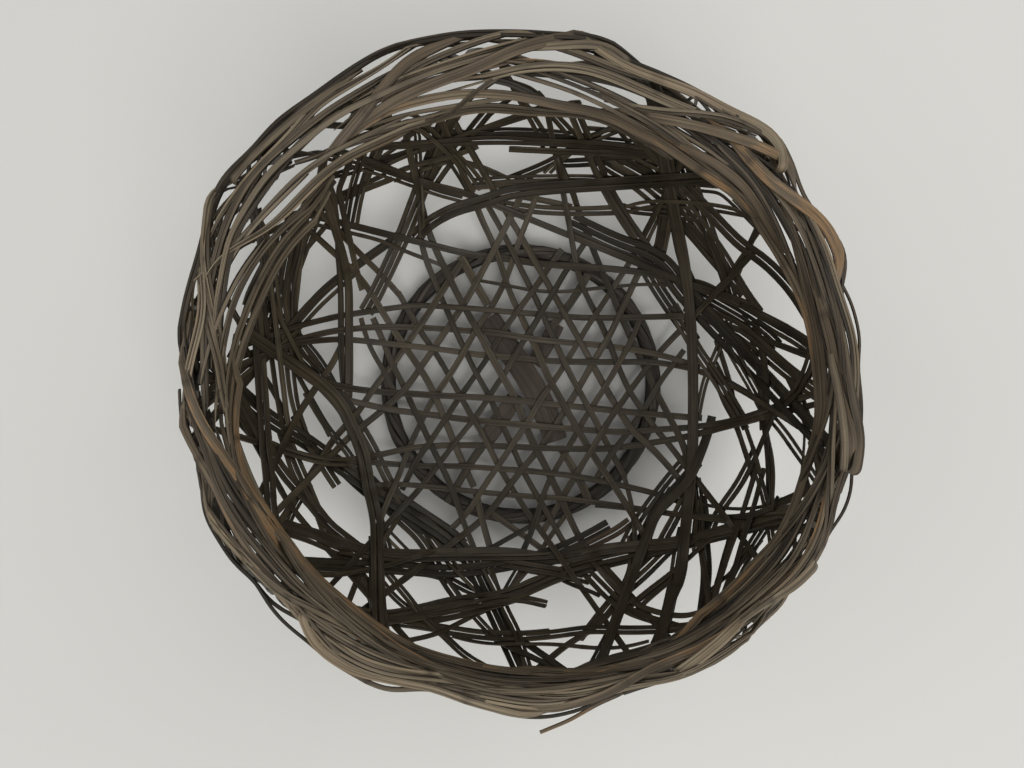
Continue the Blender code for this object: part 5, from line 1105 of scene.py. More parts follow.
def rim_chains():
    """The drawn splints, those whose ends meet joined to longer ones: line, width, rank, kind and fold."""
    chains = []
    for k, (width, kind, fold, points) in enumerate(RIM):
        line = blur(smooth(points, 3.0), 16 if fold else 40)
        chains.append(dict(line=line, width=np.full(len(line), float(width)), rank=np.full(len(line), float(k)), kind=kind, fold=fold, ends=[(k, 0), (k, 1)], size=len(line)))
    tips = {}
    for k, c in enumerate(chains):
        q = c["line"]
        back = min(6, len(q) - 1)
        tips[(k, 0)] = (q[0], unit((q[0] - q[back])[None, :])[0])
        tips[(k, 1)] = (q[-1], unit((q[-1] - q[-1 - back])[None, :])[0])
    offers = []
    keys = [key for key in tips if not (key[1] == 1 and chains[key[0]]["fold"])]
    for i, a in enumerate(keys):
        pa, wa = tips[a]
        for b in keys[i + 1:]:
            if a[0] == b[0]:
                continue
            pb, wb = tips[b]
            g = pb - pa
            if abs(g).max() > 55:
                continue
            way = unit((wa - wb)[None, :])[0]
            ahead, beside = g @ way, abs(g[0] * way[1] - g[1] * way[0])
            angle = math.acos(float(np.clip(-(wa @ wb), -1, 1)))
            odd = abs(chains[a[0]]["width"][0] - chains[b[0]]["width"][0])
            if -34 < ahead < 46 and beside < 2.6 + 0.10 * abs(ahead) and angle < 0.40 and odd < 5:
                mixed = 3.0 if (chains[a[0]]["kind"] in "wl") != (chains[b[0]]["kind"] in "wl") else 0.0
                offers.append((1.6 * beside + 0.10 * abs(ahead) + 14 * angle + 0.8 * odd + mixed, a, b))
    owner = {key: key[0] for key in tips}
    used = set()
    for cost, a, b in sorted(offers):
        if a in used or b in used or owner[a] == owner[b]:
            continue
        used |= {a, b}
        one, two = chains[owner[a]], chains[owner[b]]
        for c, key, last in ((one, a, True), (two, b, False)):
            if (c["ends"][1] == key) != last:
                for field in ("line", "width", "rank"):
                    c[field] = c[field][::-1]
                c["ends"] = c["ends"][::-1]
        way = unit((one["line"][-1] - one["line"][-min(7, len(one["line"]))])[None, :])[0]
        over = (one["line"][-1] - two["line"][0]) @ way
        if over > -2:  # they lie beside each other there: each gives up half
            cut = int((over + 4) / 6)
            stop, start = max(3, len(one["line"]) - cut), min(len(two["line"]) - 3, cut)
        else:
            stop, start = len(one["line"]), 0
        line = np.concatenate([one["line"][:stop], two["line"][start:]])
        width = np.concatenate([one["width"][:stop], two["width"][start:]])
        rank = np.concatenate([one["rank"][:stop], two["rank"][start:]])
        line, width, rank = evenly(line, 3.0, width, rank)
        near = np.exp(-((np.arange(len(line)) - stop) / 9.0) ** 2)[:, None]
        line = line * (1 - near) + blur(line, 60) * near
        big = one if one["size"] >= two["size"] else two
        chains.append(dict(line=line, width=blur(width, 40), rank=blur(rank, 12), kind=big["kind"], fold=one["fold"] or two["fold"], ends=[one["ends"][0], two["ends"][1]], size=one["size"] + two["size"]))
        for key in list(owner):
            if owner[key] in (owner[a], owner[b]) and key != a and key != b:
                owner[key] = len(chains) - 1
        owner[a] = owner[b] = len(chains) - 1
    keep = [chains[k] for k in sorted(set(owner.values()))]
    for c in keep:
        folded = [bool(key[1] == 1 and RIM[key[0]][2]) for key in c["ends"]]
        if folded[0] and not folded[1]:
            for field in ("line", "width", "rank"):
                c[field] = c[field][::-1]
            folded = folded[::-1]
        c["fold"] = int(folded[1])
    print(f"rim: {len(RIM)} drawn splints, {len(used) // 2} joints, {len(keep)} chains")
    return keep


def rim_strand(piece, line, width, rank, kind, fold, seed, most):
    """A splint of the rim; past its drawn ends it goes on under the others, or down over the edge."""
    r = np.random.default_rng(seed)
    sink, share = np.zeros(len(line)), np.ones(len(line))
    over_edge = [False, False]
    phi = rim_hit(*line.T)[2]
    thin = float(np.clip(3.2 / width.mean(), 0.42, 0.95))
    for end in (1, 0):
        if fold and end:
            continue
        tip = phi[-1] if end else phi[0]
        if tip < 0.30 or tip > 2.75:
            over_edge[end] = True
            continue
        more, over_edge[end] = past_end(line if end else line[::-1], int(rank[-1] if end else rank[0]), r, most)
        if len(more):
            k = np.arange(1, len(more) + 1)
            extra = -0.0024 * np.clip(k / 5, 0, 1)
            slim = 1 + (thin - 1) * np.clip((k + 2) / 9, 0, 1)
            if not over_edge[end]:
                slim = slim * np.clip((len(more) + 2 - k) / 8, 0.25, 1)
            line = np.concatenate([line, more]) if end else np.concatenate([more[::-1], line])
            sink = np.concatenate([sink, extra]) if end else np.concatenate([extra[::-1], sink])
            share = np.concatenate([share, slim]) if end else np.concatenate([slim[::-1], share])
            width = np.concatenate([width, np.full(len(more), width[-1])]) if end else np.concatenate([np.full(len(more), width[0]), width])
            rank = np.concatenate([rank, np.full(len(more), rank[-1])]) if end else np.concatenate([np.full(len(more), rank[0]), rank])
    line = blur(line, 6)
    point, angle, phi = rim_hit(*line.T)
    angle, phi = np.unwrap(angle), np.unwrap(phi)
    point, angle, phi, sink, share, width, rank = evenly(point, 0.003, angle, phi, sink, share, width, rank)
    share = blur(share, 3)
    for _ in range(4):
        point[1:-1] = 0.5 * point[1:-1] + 0.25 * (point[:-2] + point[2:])
    phi = blur(phi, 6)
    normal = rim_point(angle, phi)[1]
    w = np.ones(len(point))
    for end in (1, 0):
        if not over_edge[end]:
            continue
        if not end:
            point, normal, angle, phi, w, sink, share, width, rank = (q[::-1] for q in (point, normal, angle, phi, w, sink, share, width, rank))
        outer = phi[-1] < 1.57
        n = int(r.integers(5, 11))
        back = min(6, len(angle) - 1)
        d_angle = angle[-1] - angle[-1 - back]
        way = 1.0 if d_angle > 0 else -1.0
        k = np.arange(1, n + 1)
        slope = np.minimum(0.6 + 0.35 * k, 2.6 if outer else 2.2)
        dang = 0.003 / np.hypot(0.137, 0.0125 * slope)
        more_a = angle[-1] + way * np.cumsum(dang)
        more_p = phi[-1] + (-1 if outer else 1) * np.cumsum(dang * slope)
        start, _ = rim_point(angle[-1:], phi[-1:])
        shift = (point[-1] - start[0])[None, :] * np.exp(-k / 4)[:, None]
        p, m = rim_point(more_a, more_p)
        point, normal = np.concatenate([point, p + shift]), np.concatenate([normal, m])
        angle, phi = np.concatenate([angle, more_a]), np.concatenate([phi, more_p])
        w = np.concatenate([w, np.clip(1 - k / 6, 0.15, 1)])
        sink = np.concatenate([sink, sink[-1] - 0.0016 * np.clip(k / 5, 0, 1)])
        share, width, rank = (np.concatenate([q, np.full(n, q[-1])]) for q in (share, width, rank))
        if not end:
            point, normal, angle, phi, w, sink, share, width, rank = (q[::-1] for q in (point, normal, angle, phi, w, sink, share, width, rank))
    face, D, gain = rim_frame(point, normal, w)
    T = unit(np.gradient(point, axis=0))
    B = unit(np.cross(face, T))
    V = unit(EYE - point)
    seen = np.linalg.norm(np.cross(B, V), axis=1)
    wanted = share * width * 0.5 * (EYE[2] - point[:, 2]) / SHEET
    half = blur(wanted / np.clip(seen, 0.68, 1), 4)
    s = Strand(piece, point, face, half, SPLINT_T + 0.00035 * min(1.0, width.mean() / 9), kind, rank)
    s.D, s.gain, s.base = D, gain, sink
    s.fold = fold
    s.frame()
    return s


def side_by_side(chain, seed):
    """The splints that lie beside each other in a drawn one: line, width and rank of each."""
    r = np.random.default_rng(seed)
    line, width, rank, kind = chain["line"], chain["width"], chain["rank"], chain["kind"]
    mean = width.mean()
    if chain["fold"] or mean < 4.6 or kind == "w":
        return [(line, width, rank)]
    shares = {1: [1.0], 2: [0.56, 0.44], 3: [0.36, 0.30, 0.34], 4: [0.27, 0.22, 0.27, 0.24]}[int(np.clip(round(mean / (4.8 if kind == "w" else 3.0)), 2, 4))]
    if r.random() < 0.5:
        shares = shares[::-1]
    t = unit(np.gradient(line, axis=0))
    side = np.stack([-t[:, 1], t[:, 0]], axis=1)
    out, at = [], -0.5
    for k, share in enumerate(shares):
        middle = at + share / 2
        at += share
        n = len(line)
        loose = wander(n, 22, seed * 7 + k, 0.05 * mean)
        q = line + side * (width * middle * 1.04 + loose)[:, None]
        cut0 = int(r.integers(0, 9)) if n > 40 else 0
        cut1 = int(r.integers(0, 9)) if n > 40 else 0
        pick = slice(cut0, n - cut1)
        out.append((q[pick], (width * share * 0.90)[pick], (rank + 0.03 * k)[pick]))
    return out


def under_splint(piece, parent, deep, width, kind, seed):
    """A narrower splint that runs hidden below another one, as deep as given along the line of sight."""
    r = np.random.default_rng(seed)
    n = len(parent.P)
    cut0, cut1 = (int(v) for v in r.integers(0, max(1, n // 6), 2))
    pick = slice(cut0, n - cut1)
    P = parent.P[pick]
    V = unit(EYE - P)
    m = len(P)
    depth = deep + wander(m, 16, seed, 0.0012) + np.linspace(0, r.uniform(-0.002, 0.002), m)
    base = P - V * np.maximum(depth, 0.0022)[:, None]
    angle = np.arctan2(base[:, 1], base[:, 0])
    phi = np.arctan2((base[:, 2] - RIM_Z) / RIM_HIGH, (np.hypot(base[:, 0], base[:, 1]) - ring(RIM_R, angle)) / ring(RIM_WIDE, angle))
    normal = np.stack([np.cos(phi) * np.cos(angle), np.cos(phi) * np.sin(angle), np.maximum(np.sin(phi), 0.1)], axis=1)
    face = unit(normal + 0.7 * V)
    side = unit(np.cross(face, unit(np.gradient(base, axis=0))))
    room = np.maximum(parent.half[pick] * 0.8 - width / 2, 0)
    base = base + side * (room * r.uniform(-1, 1))[:, None]
    s = Strand(piece, base, face, np.full(m, width / 2), SPLINT_T, kind, -deep)
    s.D = V
    s.gain = 1 / np.clip((face * V).sum(1), 0.6, 1)
    s.frame()
    return s


# ------------------------------------------------------------------ meshes
SECTION = np.array([(-1.0, 0.42), (-0.93, 0.86), (-0.45, 1.0), (0.45, 1.0), (0.93, 0.86), (1.0, 0.42), (1.0, -0.62), (0.93, -0.96), (0.0, -1.0), (-0.93, -0.96), (-1.0, -0.62)])
COUNT = [0]


def ribbon(s):
    """Rings of the splint's section along its lifted line, with what the finish needs to know."""
    COUNT[0] += 1
    seed = 1000 + COUNT[0]
    r = np.random.default_rng(seed)
    P = s.P + s.D * s.lift[:, None]
    N, half = s.N.copy(), s.half.copy()
    loop = s.loop
    if s.fold:  # the end turns over and runs back underneath
        T = unit(P[-1] - P[-3])
        rad = 0.0030
        c = P[-1] - N[-1] * rad
        bend = np.linspace(0, math.pi, 10)[1:]
        arc = np.array([c + N[-1] * rad * math.cos(q) + T * rad * 1.1 * math.sin(q) for q in bend])
        back = np.array([arc[-1] - T * 0.003 * k - N[-1] * 0.0003 * k for k in range(1, 5)])
        tail_n = np.array([unit(N[-1] * math.cos(q) + T * math.sin(q)) for q in bend] + [-N[-1]] * 4)
        P, N = np.concatenate([P, arc, back]), np.concatenate([N, tail_n])
        half = np.concatenate([half, np.full(len(arc) + len(back), half[-1])])
    n = len(P)
    run = runs(P)
    if loop:
        T = unit(np.roll(P[:-1], -1, 0) - np.roll(P[:-1], 1, 0))
        T = np.concatenate([T, T[:1]])
    else:
        T = unit(np.gradient(P, axis=0))
    B = unit(np.cross(N, T))
    N = np.cross(T, B)
    tilt = wander(n, 22, seed, 0.10)
    if loop:
        tilt *= np.sin(np.linspace(0, math.pi, n))
    B, N = B * np.cos(tilt)[:, None] + N * np.sin(tilt)[:, None], N * np.cos(tilt)[:, None] - B * np.sin(tilt)[:, None]
    knot = np.zeros(n)
    at = r.uniform(0.02, 0.16)
    while at < run[-1]:
        knot = np.maximum(knot, np.exp(-((run - at) / 0.0016) ** 2))
        at += r.uniform(0.11, 0.24)
    width = 1 + wander(n, 9, seed + 5, 0.045) + wander(n, 30, seed + 9, 0.05) + 0.05 * knot
    if loop:
        width = 1 + (width - 1) * np.sin(np.linspace(0, math.pi, n))
    thick = s.thick * 0.5 * (1 + 0.22 * knot)
    if not loop and len(P) > 8:
        for k, q in ((0, 0.62), (-1, 0.62)):
            width[k] *= 0.94
    half = half * width
    ring_pts = (P[:, None, :] + B[:, None, :] * (SECTION[None, :, 0] * half[:, None])[:, :, None]
                + N[:, None, :] * (SECTION[None, :, 1] * thick[:, None])[:, :, None])
    m = half.mean()
    step = np.hypot(np.diff(np.append(SECTION[:, 0], SECTION[0, 0])) * m, np.diff(np.append(SECTION[:, 1], SECTION[0, 1])) * s.thick / 2)
    around = np.concatenate([[0], np.cumsum(step)])
    tone = s.tone + r.uniform(-0.12, 0.12) + wander(n, 34, seed + 3, 0.08)
    if s.piece.startswith("rim"):  # painted shade: the rim's splints are made darker toward the east (+x) side, where more of the rim lies in shade
        tone = tone - 0.15 * np.clip(np.cos(np.arctan2(P[:, 1], P[:, 0]) - 0.25), 0, 1)
    return dict(rings=ring_pts, run=run, around=around, knot=knot, tone=tone, wear=np.full(n, s.wear), red=np.full(n, s.red), loop=loop)


def piece_mesh(name, strands, material):
    """One object from a group of splints, each a row of its own in the map OFBake."""
    parts = [ribbon(s) for s in strands]
    K = len(SECTION)
    longest = max(p["run"][-1] for p in parts)
    gap = 0.0006
    tall = sum(p["around"][-1] + gap for p in parts)
    verts, quads, caps = [], [], []
    uv, bake, cap_uv, cap_bake, attrs = [], [], [], [], {"tone": [], "wear": [], "red": [], "knot": [], "edge": []}
    base, y0 = 0, 0.0
    for i, p in enumerate(parts):
        n = len(p["run"])
        verts.append(p["rings"].reshape(-1, 3))
        a, k = np.meshgrid(np.arange(n - 1), np.arange(K), indexing="ij")
        k2 = (k + 1) % K
        quads.append((base + np.stack([a * K + k, a * K + k2, (a + 1) * K + k2, (a + 1) * K + k], axis=-1)).reshape(-1, 4))
        ru = np.stack([p["run"][a], p["run"][a], p["run"][a + 1], p["run"][a + 1]], axis=-1)
        ar = np.stack([p["around"][k], p["around"][k + 1], p["around"][k + 1], p["around"][k]], axis=-1)
        uv.append(np.stack([ru + 1.7 * (COUNT[0] + i), ar + 0.11 * (COUNT[0] + 3 * i)], axis=-1).reshape(-1, 2))
        bake.append(np.stack([0.012 + 0.976 * ru / longest, (y0 + ar) / tall], axis=-1).reshape(-1, 2))
        if not p["loop"]:
            for end, row, u in ((0, np.arange(K)[::-1], 0.005), (n - 1, np.arange(K), 0.995)):
                caps.append(base + end * K + row)
                cap_uv.append(np.stack([p["run"][end] + 1.7 * i + SECTION[row, 0] * 0.001, p["around"][row] + 0.3], axis=-1))
                cap_bake.append(np.stack([u + SECTION[row, 0] * 0.004, (y0 + p["around"][-1] * (0.5 + 0.4 * SECTION[row, 1])) / tall], axis=-1))
        for key in ("tone", "wear", "red", "knot"):
            attrs[key].append(np.repeat(p[key], K))
        attrs["edge"].append(np.tile(np.abs(SECTION[:, 0]) ** 3, n))
        base += n * K
        y0 += p["around"][-1] + gap
    verts = np.concatenate(verts)
    quads = np.concatenate(quads)
    nq, nc = len(quads), len(caps)
    loops = np.concatenate([quads.reshape(-1)] + [c for c in caps]) if nc else quads.reshape(-1)
    starts = np.concatenate([np.arange(nq) * 4, nq * 4 + np.arange(nc) * K])
    totals = np.concatenate([np.full(nq, 4), np.full(nc, K)])
    mesh = bpy.data.meshes.new(name)
    mesh.vertices.add(len(verts))
    mesh.vertices.foreach_set("co", verts.astype(np.float32).ravel())
    mesh.loops.add(len(loops))
    mesh.loops.foreach_set("vertex_index", loops.astype(np.int32))
    mesh.polygons.add(nq + nc)
    mesh.polygons.foreach_set("loop_start", starts.astype(np.int32))
    mesh.polygons.foreach_set("loop_total", totals.astype(np.int32))
    smooth_flags = np.concatenate([np.ones(nq, bool), np.zeros(nc, bool)])
    mesh.polygons.foreach_set("use_smooth", smooth_flags)
    for key, flat in (("strand", uv + cap_uv), ("OFBake", bake + cap_bake)):
        layer = mesh.uv_layers.new(name=key)
        layer.data.foreach_set("uv", np.concatenate([q.reshape(-1, 2) for q in flat]).astype(np.float32).ravel())
    for key, rows in attrs.items():
        at = mesh.attributes.new(key, "FLOAT", "POINT")
        at.data.foreach_set("value", np.concatenate(rows).astype(np.float32))
    mesh.update(calc_edges=True)
    mesh.validate()
    mesh.set_sharp_from_angle(angle=math.radians(33))
    mesh.materials.append(material)
    obj = bpy.data.objects.new(name, mesh)
    bpy.context.scene.collection.objects.link(obj)
    return obj


# ------------------------------------------------------------------ finishes
def bamboo(name, ramp, worn, reddish, rough, gloss=0.35, bump=0.5):
    """Split bamboo: long fibres, streaks, blotches of old stain, wear to a warm tan, dark nodes and edges."""
    mat = bpy.data.materials.new(name)
    mat.use_nodes = True
    nt = mat.node_tree
    bsdf = nt.nodes["Principled BSDF"]

    def node(kind, **props):
        n = nt.nodes.new(kind)
        for k, v in props.items():
            setattr(n, k, v)
        return n

    def link(a, b):
        nt.links.new(a, b)

    def attr(key):
        return node("ShaderNodeAttribute", attribute_name=key, attribute_type="GEOMETRY").outputs["Fac"]

    def maths(op, a, b=None, c=None, clamp=False):
        n = node("ShaderNodeMath", operation=op, use_clamp=clamp)
        for i, v in enumerate((a, b, c)):
            if v is None:
                continue
            if isinstance(v, (int, float)):
                n.inputs[i].default_value = v
            else:
                link(v, n.inputs[i])
        return n.outputs[0]

    uvn = node("ShaderNodeUVMap", uv_map="strand")

    def noise(along, across, detail, rough_=0.55, seed=0.0):
        sc = node("ShaderNodeMapping")
        sc.inputs["Scale"].default_value = (along, across, 1.0)
        sc.inputs["Location"].default_value = (seed, seed * 0.7, 0.0)
        link(uvn.outputs["UV"], sc.inputs["Vector"])
        n = node("ShaderNodeTexNoise", noise_dimensions="2D")
        n.inputs["Scale"].default_value = 1.0
        n.inputs["Detail"].default_value = detail
        n.inputs["Roughness"].default_value = rough_
        link(sc.outputs["Vector"], n.inputs["Vector"])
        return n.outputs["Fac"]

    def spread(v, lo, hi):
        n = node("ShaderNodeMapRange", interpolation_type="SMOOTHSTEP")
        n.inputs["From Min"].default_value = lo
        n.inputs["From Max"].default_value = hi
        link(v, n.inputs["Value"])
        return n.outputs["Result"]

    def mix(fac, a, b, mode="MIX"):
        n = node("ShaderNodeMix", data_type="RGBA", blend_type=mode, clamp_result=False)
        if isinstance(fac, (int, float)):
            n.inputs["Factor"].default_value = fac
        else:
            link(fac, n.inputs["Factor"])
        for sock, v in ((n.inputs[6], a), (n.inputs[7], b)):
            if isinstance(v, tuple):
                sock.default_value = v + (1.0,) if len(v) == 3 else v
            else:
                link(v, sock)
        return n.outputs[2]

    fibre = noise(26.0, 3400.0, 4.0, 0.62, 3.1)
    streak = noise(14.0, 900.0, 3.0, 0.5, 7.7)
    blotch = noise(42.0, 150.0, 3.0, 0.55, 13.3)
    slow = noise(9.0, 30.0, 2.0, 0.5, 21.9)
    level = maths("ADD", attr("tone"), maths("MULTIPLY", maths("SUBTRACT", streak, 0.5), 0.85))
    level = maths("ADD", level, maths("MULTIPLY", maths("SUBTRACT", blotch, 0.5), 0.50))
    level = maths("ADD", level, maths("MULTIPLY", maths("SUBTRACT", slow, 0.5), 0.55), clamp=True)
    cr = node("ShaderNodeValToRGB")
    els = cr.color_ramp.elements
    while len(els) < len(ramp):
        els.new(0.5)
    for e, (pos, col) in zip(els, ramp):
        e.position = pos
        e.color = col + (1.0,)
    link(level, cr.inputs["Fac"])
    colour = cr.outputs["Color"]
    colour = mix(maths("MULTIPLY", attr("red"), maths("MULTIPLY_ADD", streak, 0.7, 0.15)), colour, reddish)
    patch = spread(maths("ADD", noise(30.0, 210.0, 3.0, 0.6, 31.1), maths("MULTIPLY", maths("SUBTRACT", slow, 0.5), 1.1)), 0.53, 0.66)
    fine = spread(noise(55.0, 1500.0, 3.0, 0.6, 41.7), 0.36, 0.58)
    patch = maths("MULTIPLY", maths("MULTIPLY", patch, fine), attr("wear"), clamp=True)
    colour = mix(maths("MULTIPLY", patch, 0.9), colour, worn)
    lines = spread(fibre, 0.30, 0.62)
    colour = mix(maths("MULTIPLY_ADD", lines, -0.42, 0.42), colour, (0.012, 0.009, 0.006))
    groove = spread(noise(7.0, 1250.0, 2.0, 0.5, 57.1), 0.36, 0.47)
    colour = mix(maths("MULTIPLY_ADD", groove, -0.55, 0.55), colour, (0.012, 0.009, 0.006))
    edge = spread(attr("edge"), 0.80, 1.0)
    colour = mix(maths("MULTIPLY", edge, 0.5), colour, (0.014, 0.010, 0.007))
    colour = mix(maths("MULTIPLY", attr("knot"), 0.65), colour, (0.018, 0.013, 0.009))
    link(colour, bsdf.inputs["Base Color"])
    link(maths("ADD", rough, maths("ADD", maths("MULTIPLY", maths("SUBTRACT", streak, 0.5), 0.35), maths("MULTIPLY", patch, -0.08)), clamp=True), bsdf.inputs["Roughness"])
    bsdf.inputs["Specular IOR Level"].default_value = gloss
    height = maths("ADD", maths("MULTIPLY", fibre, 0.5), maths("ADD", maths("MULTIPLY", streak, 0.8), maths("MULTIPLY", attr("knot"), 0.8)))
    height = maths("ADD", height, maths("MULTIPLY", groove, 0.9))
    b = node("ShaderNodeBump")
    b.inputs["Strength"].default_value = bump
    b.inputs["Distance"].default_value = 0.00035
    link(height, b.inputs["Height"])
    link(b.outputs["Normal"], bsdf.inputs["Normal"])
    return mat


WEAVE = bamboo("smoked_bamboo", [(0.0, (0.016, 0.0119, 0.0066)), (0.30, (0.042, 0.0322, 0.0182)), (0.60, (0.077, 0.0602, 0.0360)), (1.0, (0.146, 0.1185, 0.0735))],
               (0.165, 0.105, 0.060), (0.110, 0.052, 0.028), 0.52)
RIM_BAMBOO = bamboo("rim_bamboo", [(0.0, (0.022, 0.0160, 0.0092)), (0.30, (0.067, 0.0512, 0.0330)), (0.60, (0.130, 0.1032, 0.0690)), (1.0, (0.230, 0.1870, 0.1255))],
                    (0.270, 0.160, 0.075), (0.135, 0.088, 0.048), 0.56, gloss=0.3)
SLAT_BAMBOO = bamboo("slat_bamboo", [(0.0, (0.020, 0.0130, 0.0090)), (0.35, (0.046, 0.0310, 0.0215)), (0.7, (0.070, 0.0490, 0.0345)), (1.0, (0.105, 0.0780, 0.0560))],
                     (0.130, 0.080, 0.045), (0.080, 0.040, 0.022), 0.50)
FOOT_BAMBOO = bamboo("foot_bamboo", [(0.0, (0.013, 0.0100, 0.0075)), (0.35, (0.032, 0.0250, 0.0190)), (0.7, (0.056, 0.0450, 0.0350)), (1.0, (0.090, 0.0740, 0.0590))],
                     (0.130, 0.085, 0.050), (0.080, 0.040, 0.024), 0.56)


# ------------------------------------------------------------------ the weave
OVER = {"band_se_cut": 2.2, "band_n_cross": 2.0, "band_w_upright": 1.5, "band_e_upright": 1.3, "band_sw_steep": 1.2}  # bands that lie over the rest


def tucked(rank, up0, up1):
    """Rank along a splint that ends below what lies across its cut ends."""
    def at(run):
        base = rank(run) if callable(rank) else np.full(len(run), float(rank))
        for up, gap in ((up0, run), (up1, run[-1] - run)):
            if not up:
                base = base - 3.0 * np.exp(-(gap / 0.012) ** 2)
        return base
    return at


def beside(points, width, count, slit, seed):
    """Lines and width of count splints that fill a drawn one, with a slit between them."""
    q = smooth(points, 12.0)
    t = np.gradient(q, axis=0)
    t /= np.linalg.norm(t, axis=1)[:, None]
    side = np.stack([-t[:, 1], t[:, 0]], axis=1)
    one = (width - (count - 1) * slit) / count
    return [q + side * ((k - (count - 1) / 2) * (one + slit) + wander(len(q), 4, seed + k, 0.32 * slit + 0.12))[:, None] for k in range(count)], one


def weave():
    out = []
    family = {"across": (0.107, 0.0, 0), "rising": (0.101, 2.1, 0), "falling": (0.104, 4.2, 0)}
    band = 0
    for name, width, up0, up1, kind, points in NAMED:
        kin = name.split("_")[1]
        if kin in family:
            wave, shift, k = family[kin]
            phase = shift + k * math.pi * 0.93
            family[kin] = (wave, shift, k + 1)
            rank = lambda run, w=wave, f=phase: np.cos(2 * math.pi * run / w + f)
        else:
            rank = OVER.get(name, 0.9 * math.sin(band * 2.4) - (0.5 if kind == "d" else 0.0))
            band += 1
        lines, w = ([points], width) if width < 11.5 else beside(points, width * 1.03, 2 if width < 14 else 3, 0.75, 77 + band * 3)
        for k, line in enumerate(lines):
            level = tucked(rank if callable(rank) else rank + 0.02 * k, up0, up1)
            out.append(bowl_strand(name, w, up0, up1, kind, line, level, draw=RNG if k == 0 else np.random.default_rng(310 + 10 * band + k)))
    for group, rows in LOOSE.items():
        for k, (width, up0, up1, kind, points) in enumerate(rows):
            if group.startswith("floor"):
                wave, shift, n = family[group.split("_")[1]]
                phase = shift + (n + k) * math.pi * 0.93 + 0.6
                rank = lambda run, w=wave, f=phase: np.cos(2 * math.pi * run / w + f)
            else:
                rank = RNG.uniform(-1.0, 1.0) + {"d": -0.8, "b": 0.0, "g": 0.6, "l": 0.9, "r": 0.3, "w": 0.4, "u": -3.0}[kind]
            many = 1 if group.startswith("floor") or width < 6.9 else 2 if width < 11.5 else 3
            lines, w = ([points], width) if many == 1 else beside(points, width * 1.04, many, 0.95, 7000 + 97 * k + len(group))
            for n, line in enumerate(lines):
                level = tucked(rank if callable(rank) else rank + 0.02 * n, up0, up1)
                out.append(bowl_strand(group, w, up0, up1, kind, line, level, SPLINT_T if w < 5.2 else STRIP_T, RNG if n == 0 else np.random.default_rng(9000 + 50 * k + n)))
    for name, width, points in SLATS:
        out.append(bowl_strand(name, width, 0, 0, "b", points, -4.0 if "main" in name else -6.0, 0.0014))
    # the upper wall, which the rim hides in the plan: splints that lean both ways and go up into the rim
    arc_of = lambda z: float(np.interp(z, MERIDIAN[:, 1], ARC))
    groups = ("upper_splints_1", "upper_splints_2", "upper_splints_3", "upper_splints_4")
    count = 76
    for k in range(count):
        a0 = 2 * math.pi * (k + RNG.uniform(-0.35, 0.35)) / count
        way = 1 if k % 2 else -1
        start = arc_of(RNG.uniform(0.104, 0.130))
        lean = math.tan(math.radians(RNG.uniform(18, 58))) * way / 0.156
        arc = np.arange(start, ARC_END - 0.006 * RNG.random(), 0.0024)
        angle = a0 + lean * (arc - start) + way * 0.02 * np.sin(np.linspace(0, 3.1, len(arc)))
        p, n = bowl_point(angle, arc)
        spots = to_sheet(p)
        if np.mean([is_open(q) for q in spots]) > 0.02 or np.mean([band_place(q) < 0.0 for q in spots]) > 0.30:
            continue
        width = RNG.choice([0.0019, 0.0024, 0.0030, 0.0042, 0.0056])
        core, normal = evenly(p, STEP, n)
        kind = RNG.choice(["b", "b", "g", "d"])
        out.append(Strand(groups[k * 4 // count], core, normal, np.full(len(core), width / 2), SPLINT_T, str(kind), RNG.uniform(-1.6, 0.6)))
    return out


bowl = weave()
settle(bowl, 0.00012, 9, "weave")

# ------------------------------------------------------------------ the rim's splints
rim, parents = [], []
for k, chain in enumerate(rim_chains()):
    parts = side_by_side(chain, 4100 + k)
    for n, (line, width, rank) in enumerate(parts):
        kind = chain["kind"]
        if kind == "d":
            rank = rank - 200
        if len(parts) > 1 and kind in "gl" and (k + n) % 4 == 1:
            kind = "b"
        rim.append(rim_strand(f"rim_strand_{k % 6 + 1}", line, width, rank, kind, chain["fold"], 5000 + 10 * k + n, 26))
    parents.append(rim[-1 - (len(parts) // 2)])
for k, parent in enumerate(parents):
    for n in range(1 + (len(parent.P) > 45)):
        deep = 0.0046 + 0.0100 * ((k * 0.618 + n * 0.41) % 1.0)
        rim.append(under_splint("rim_core" if deep > 0.0095 else f"rim_strand_{(k + 3) % 6 + 1}", parent, deep, 0.0016 + 0.0009 * ((k * 0.37 + n * 0.5) % 1.0),
                                ("b", "d", "b")[(k + n) % 3], 6000 + 2 * k + n))
settle(rim, 0.00010, 1, "rim", (2, 3), False)

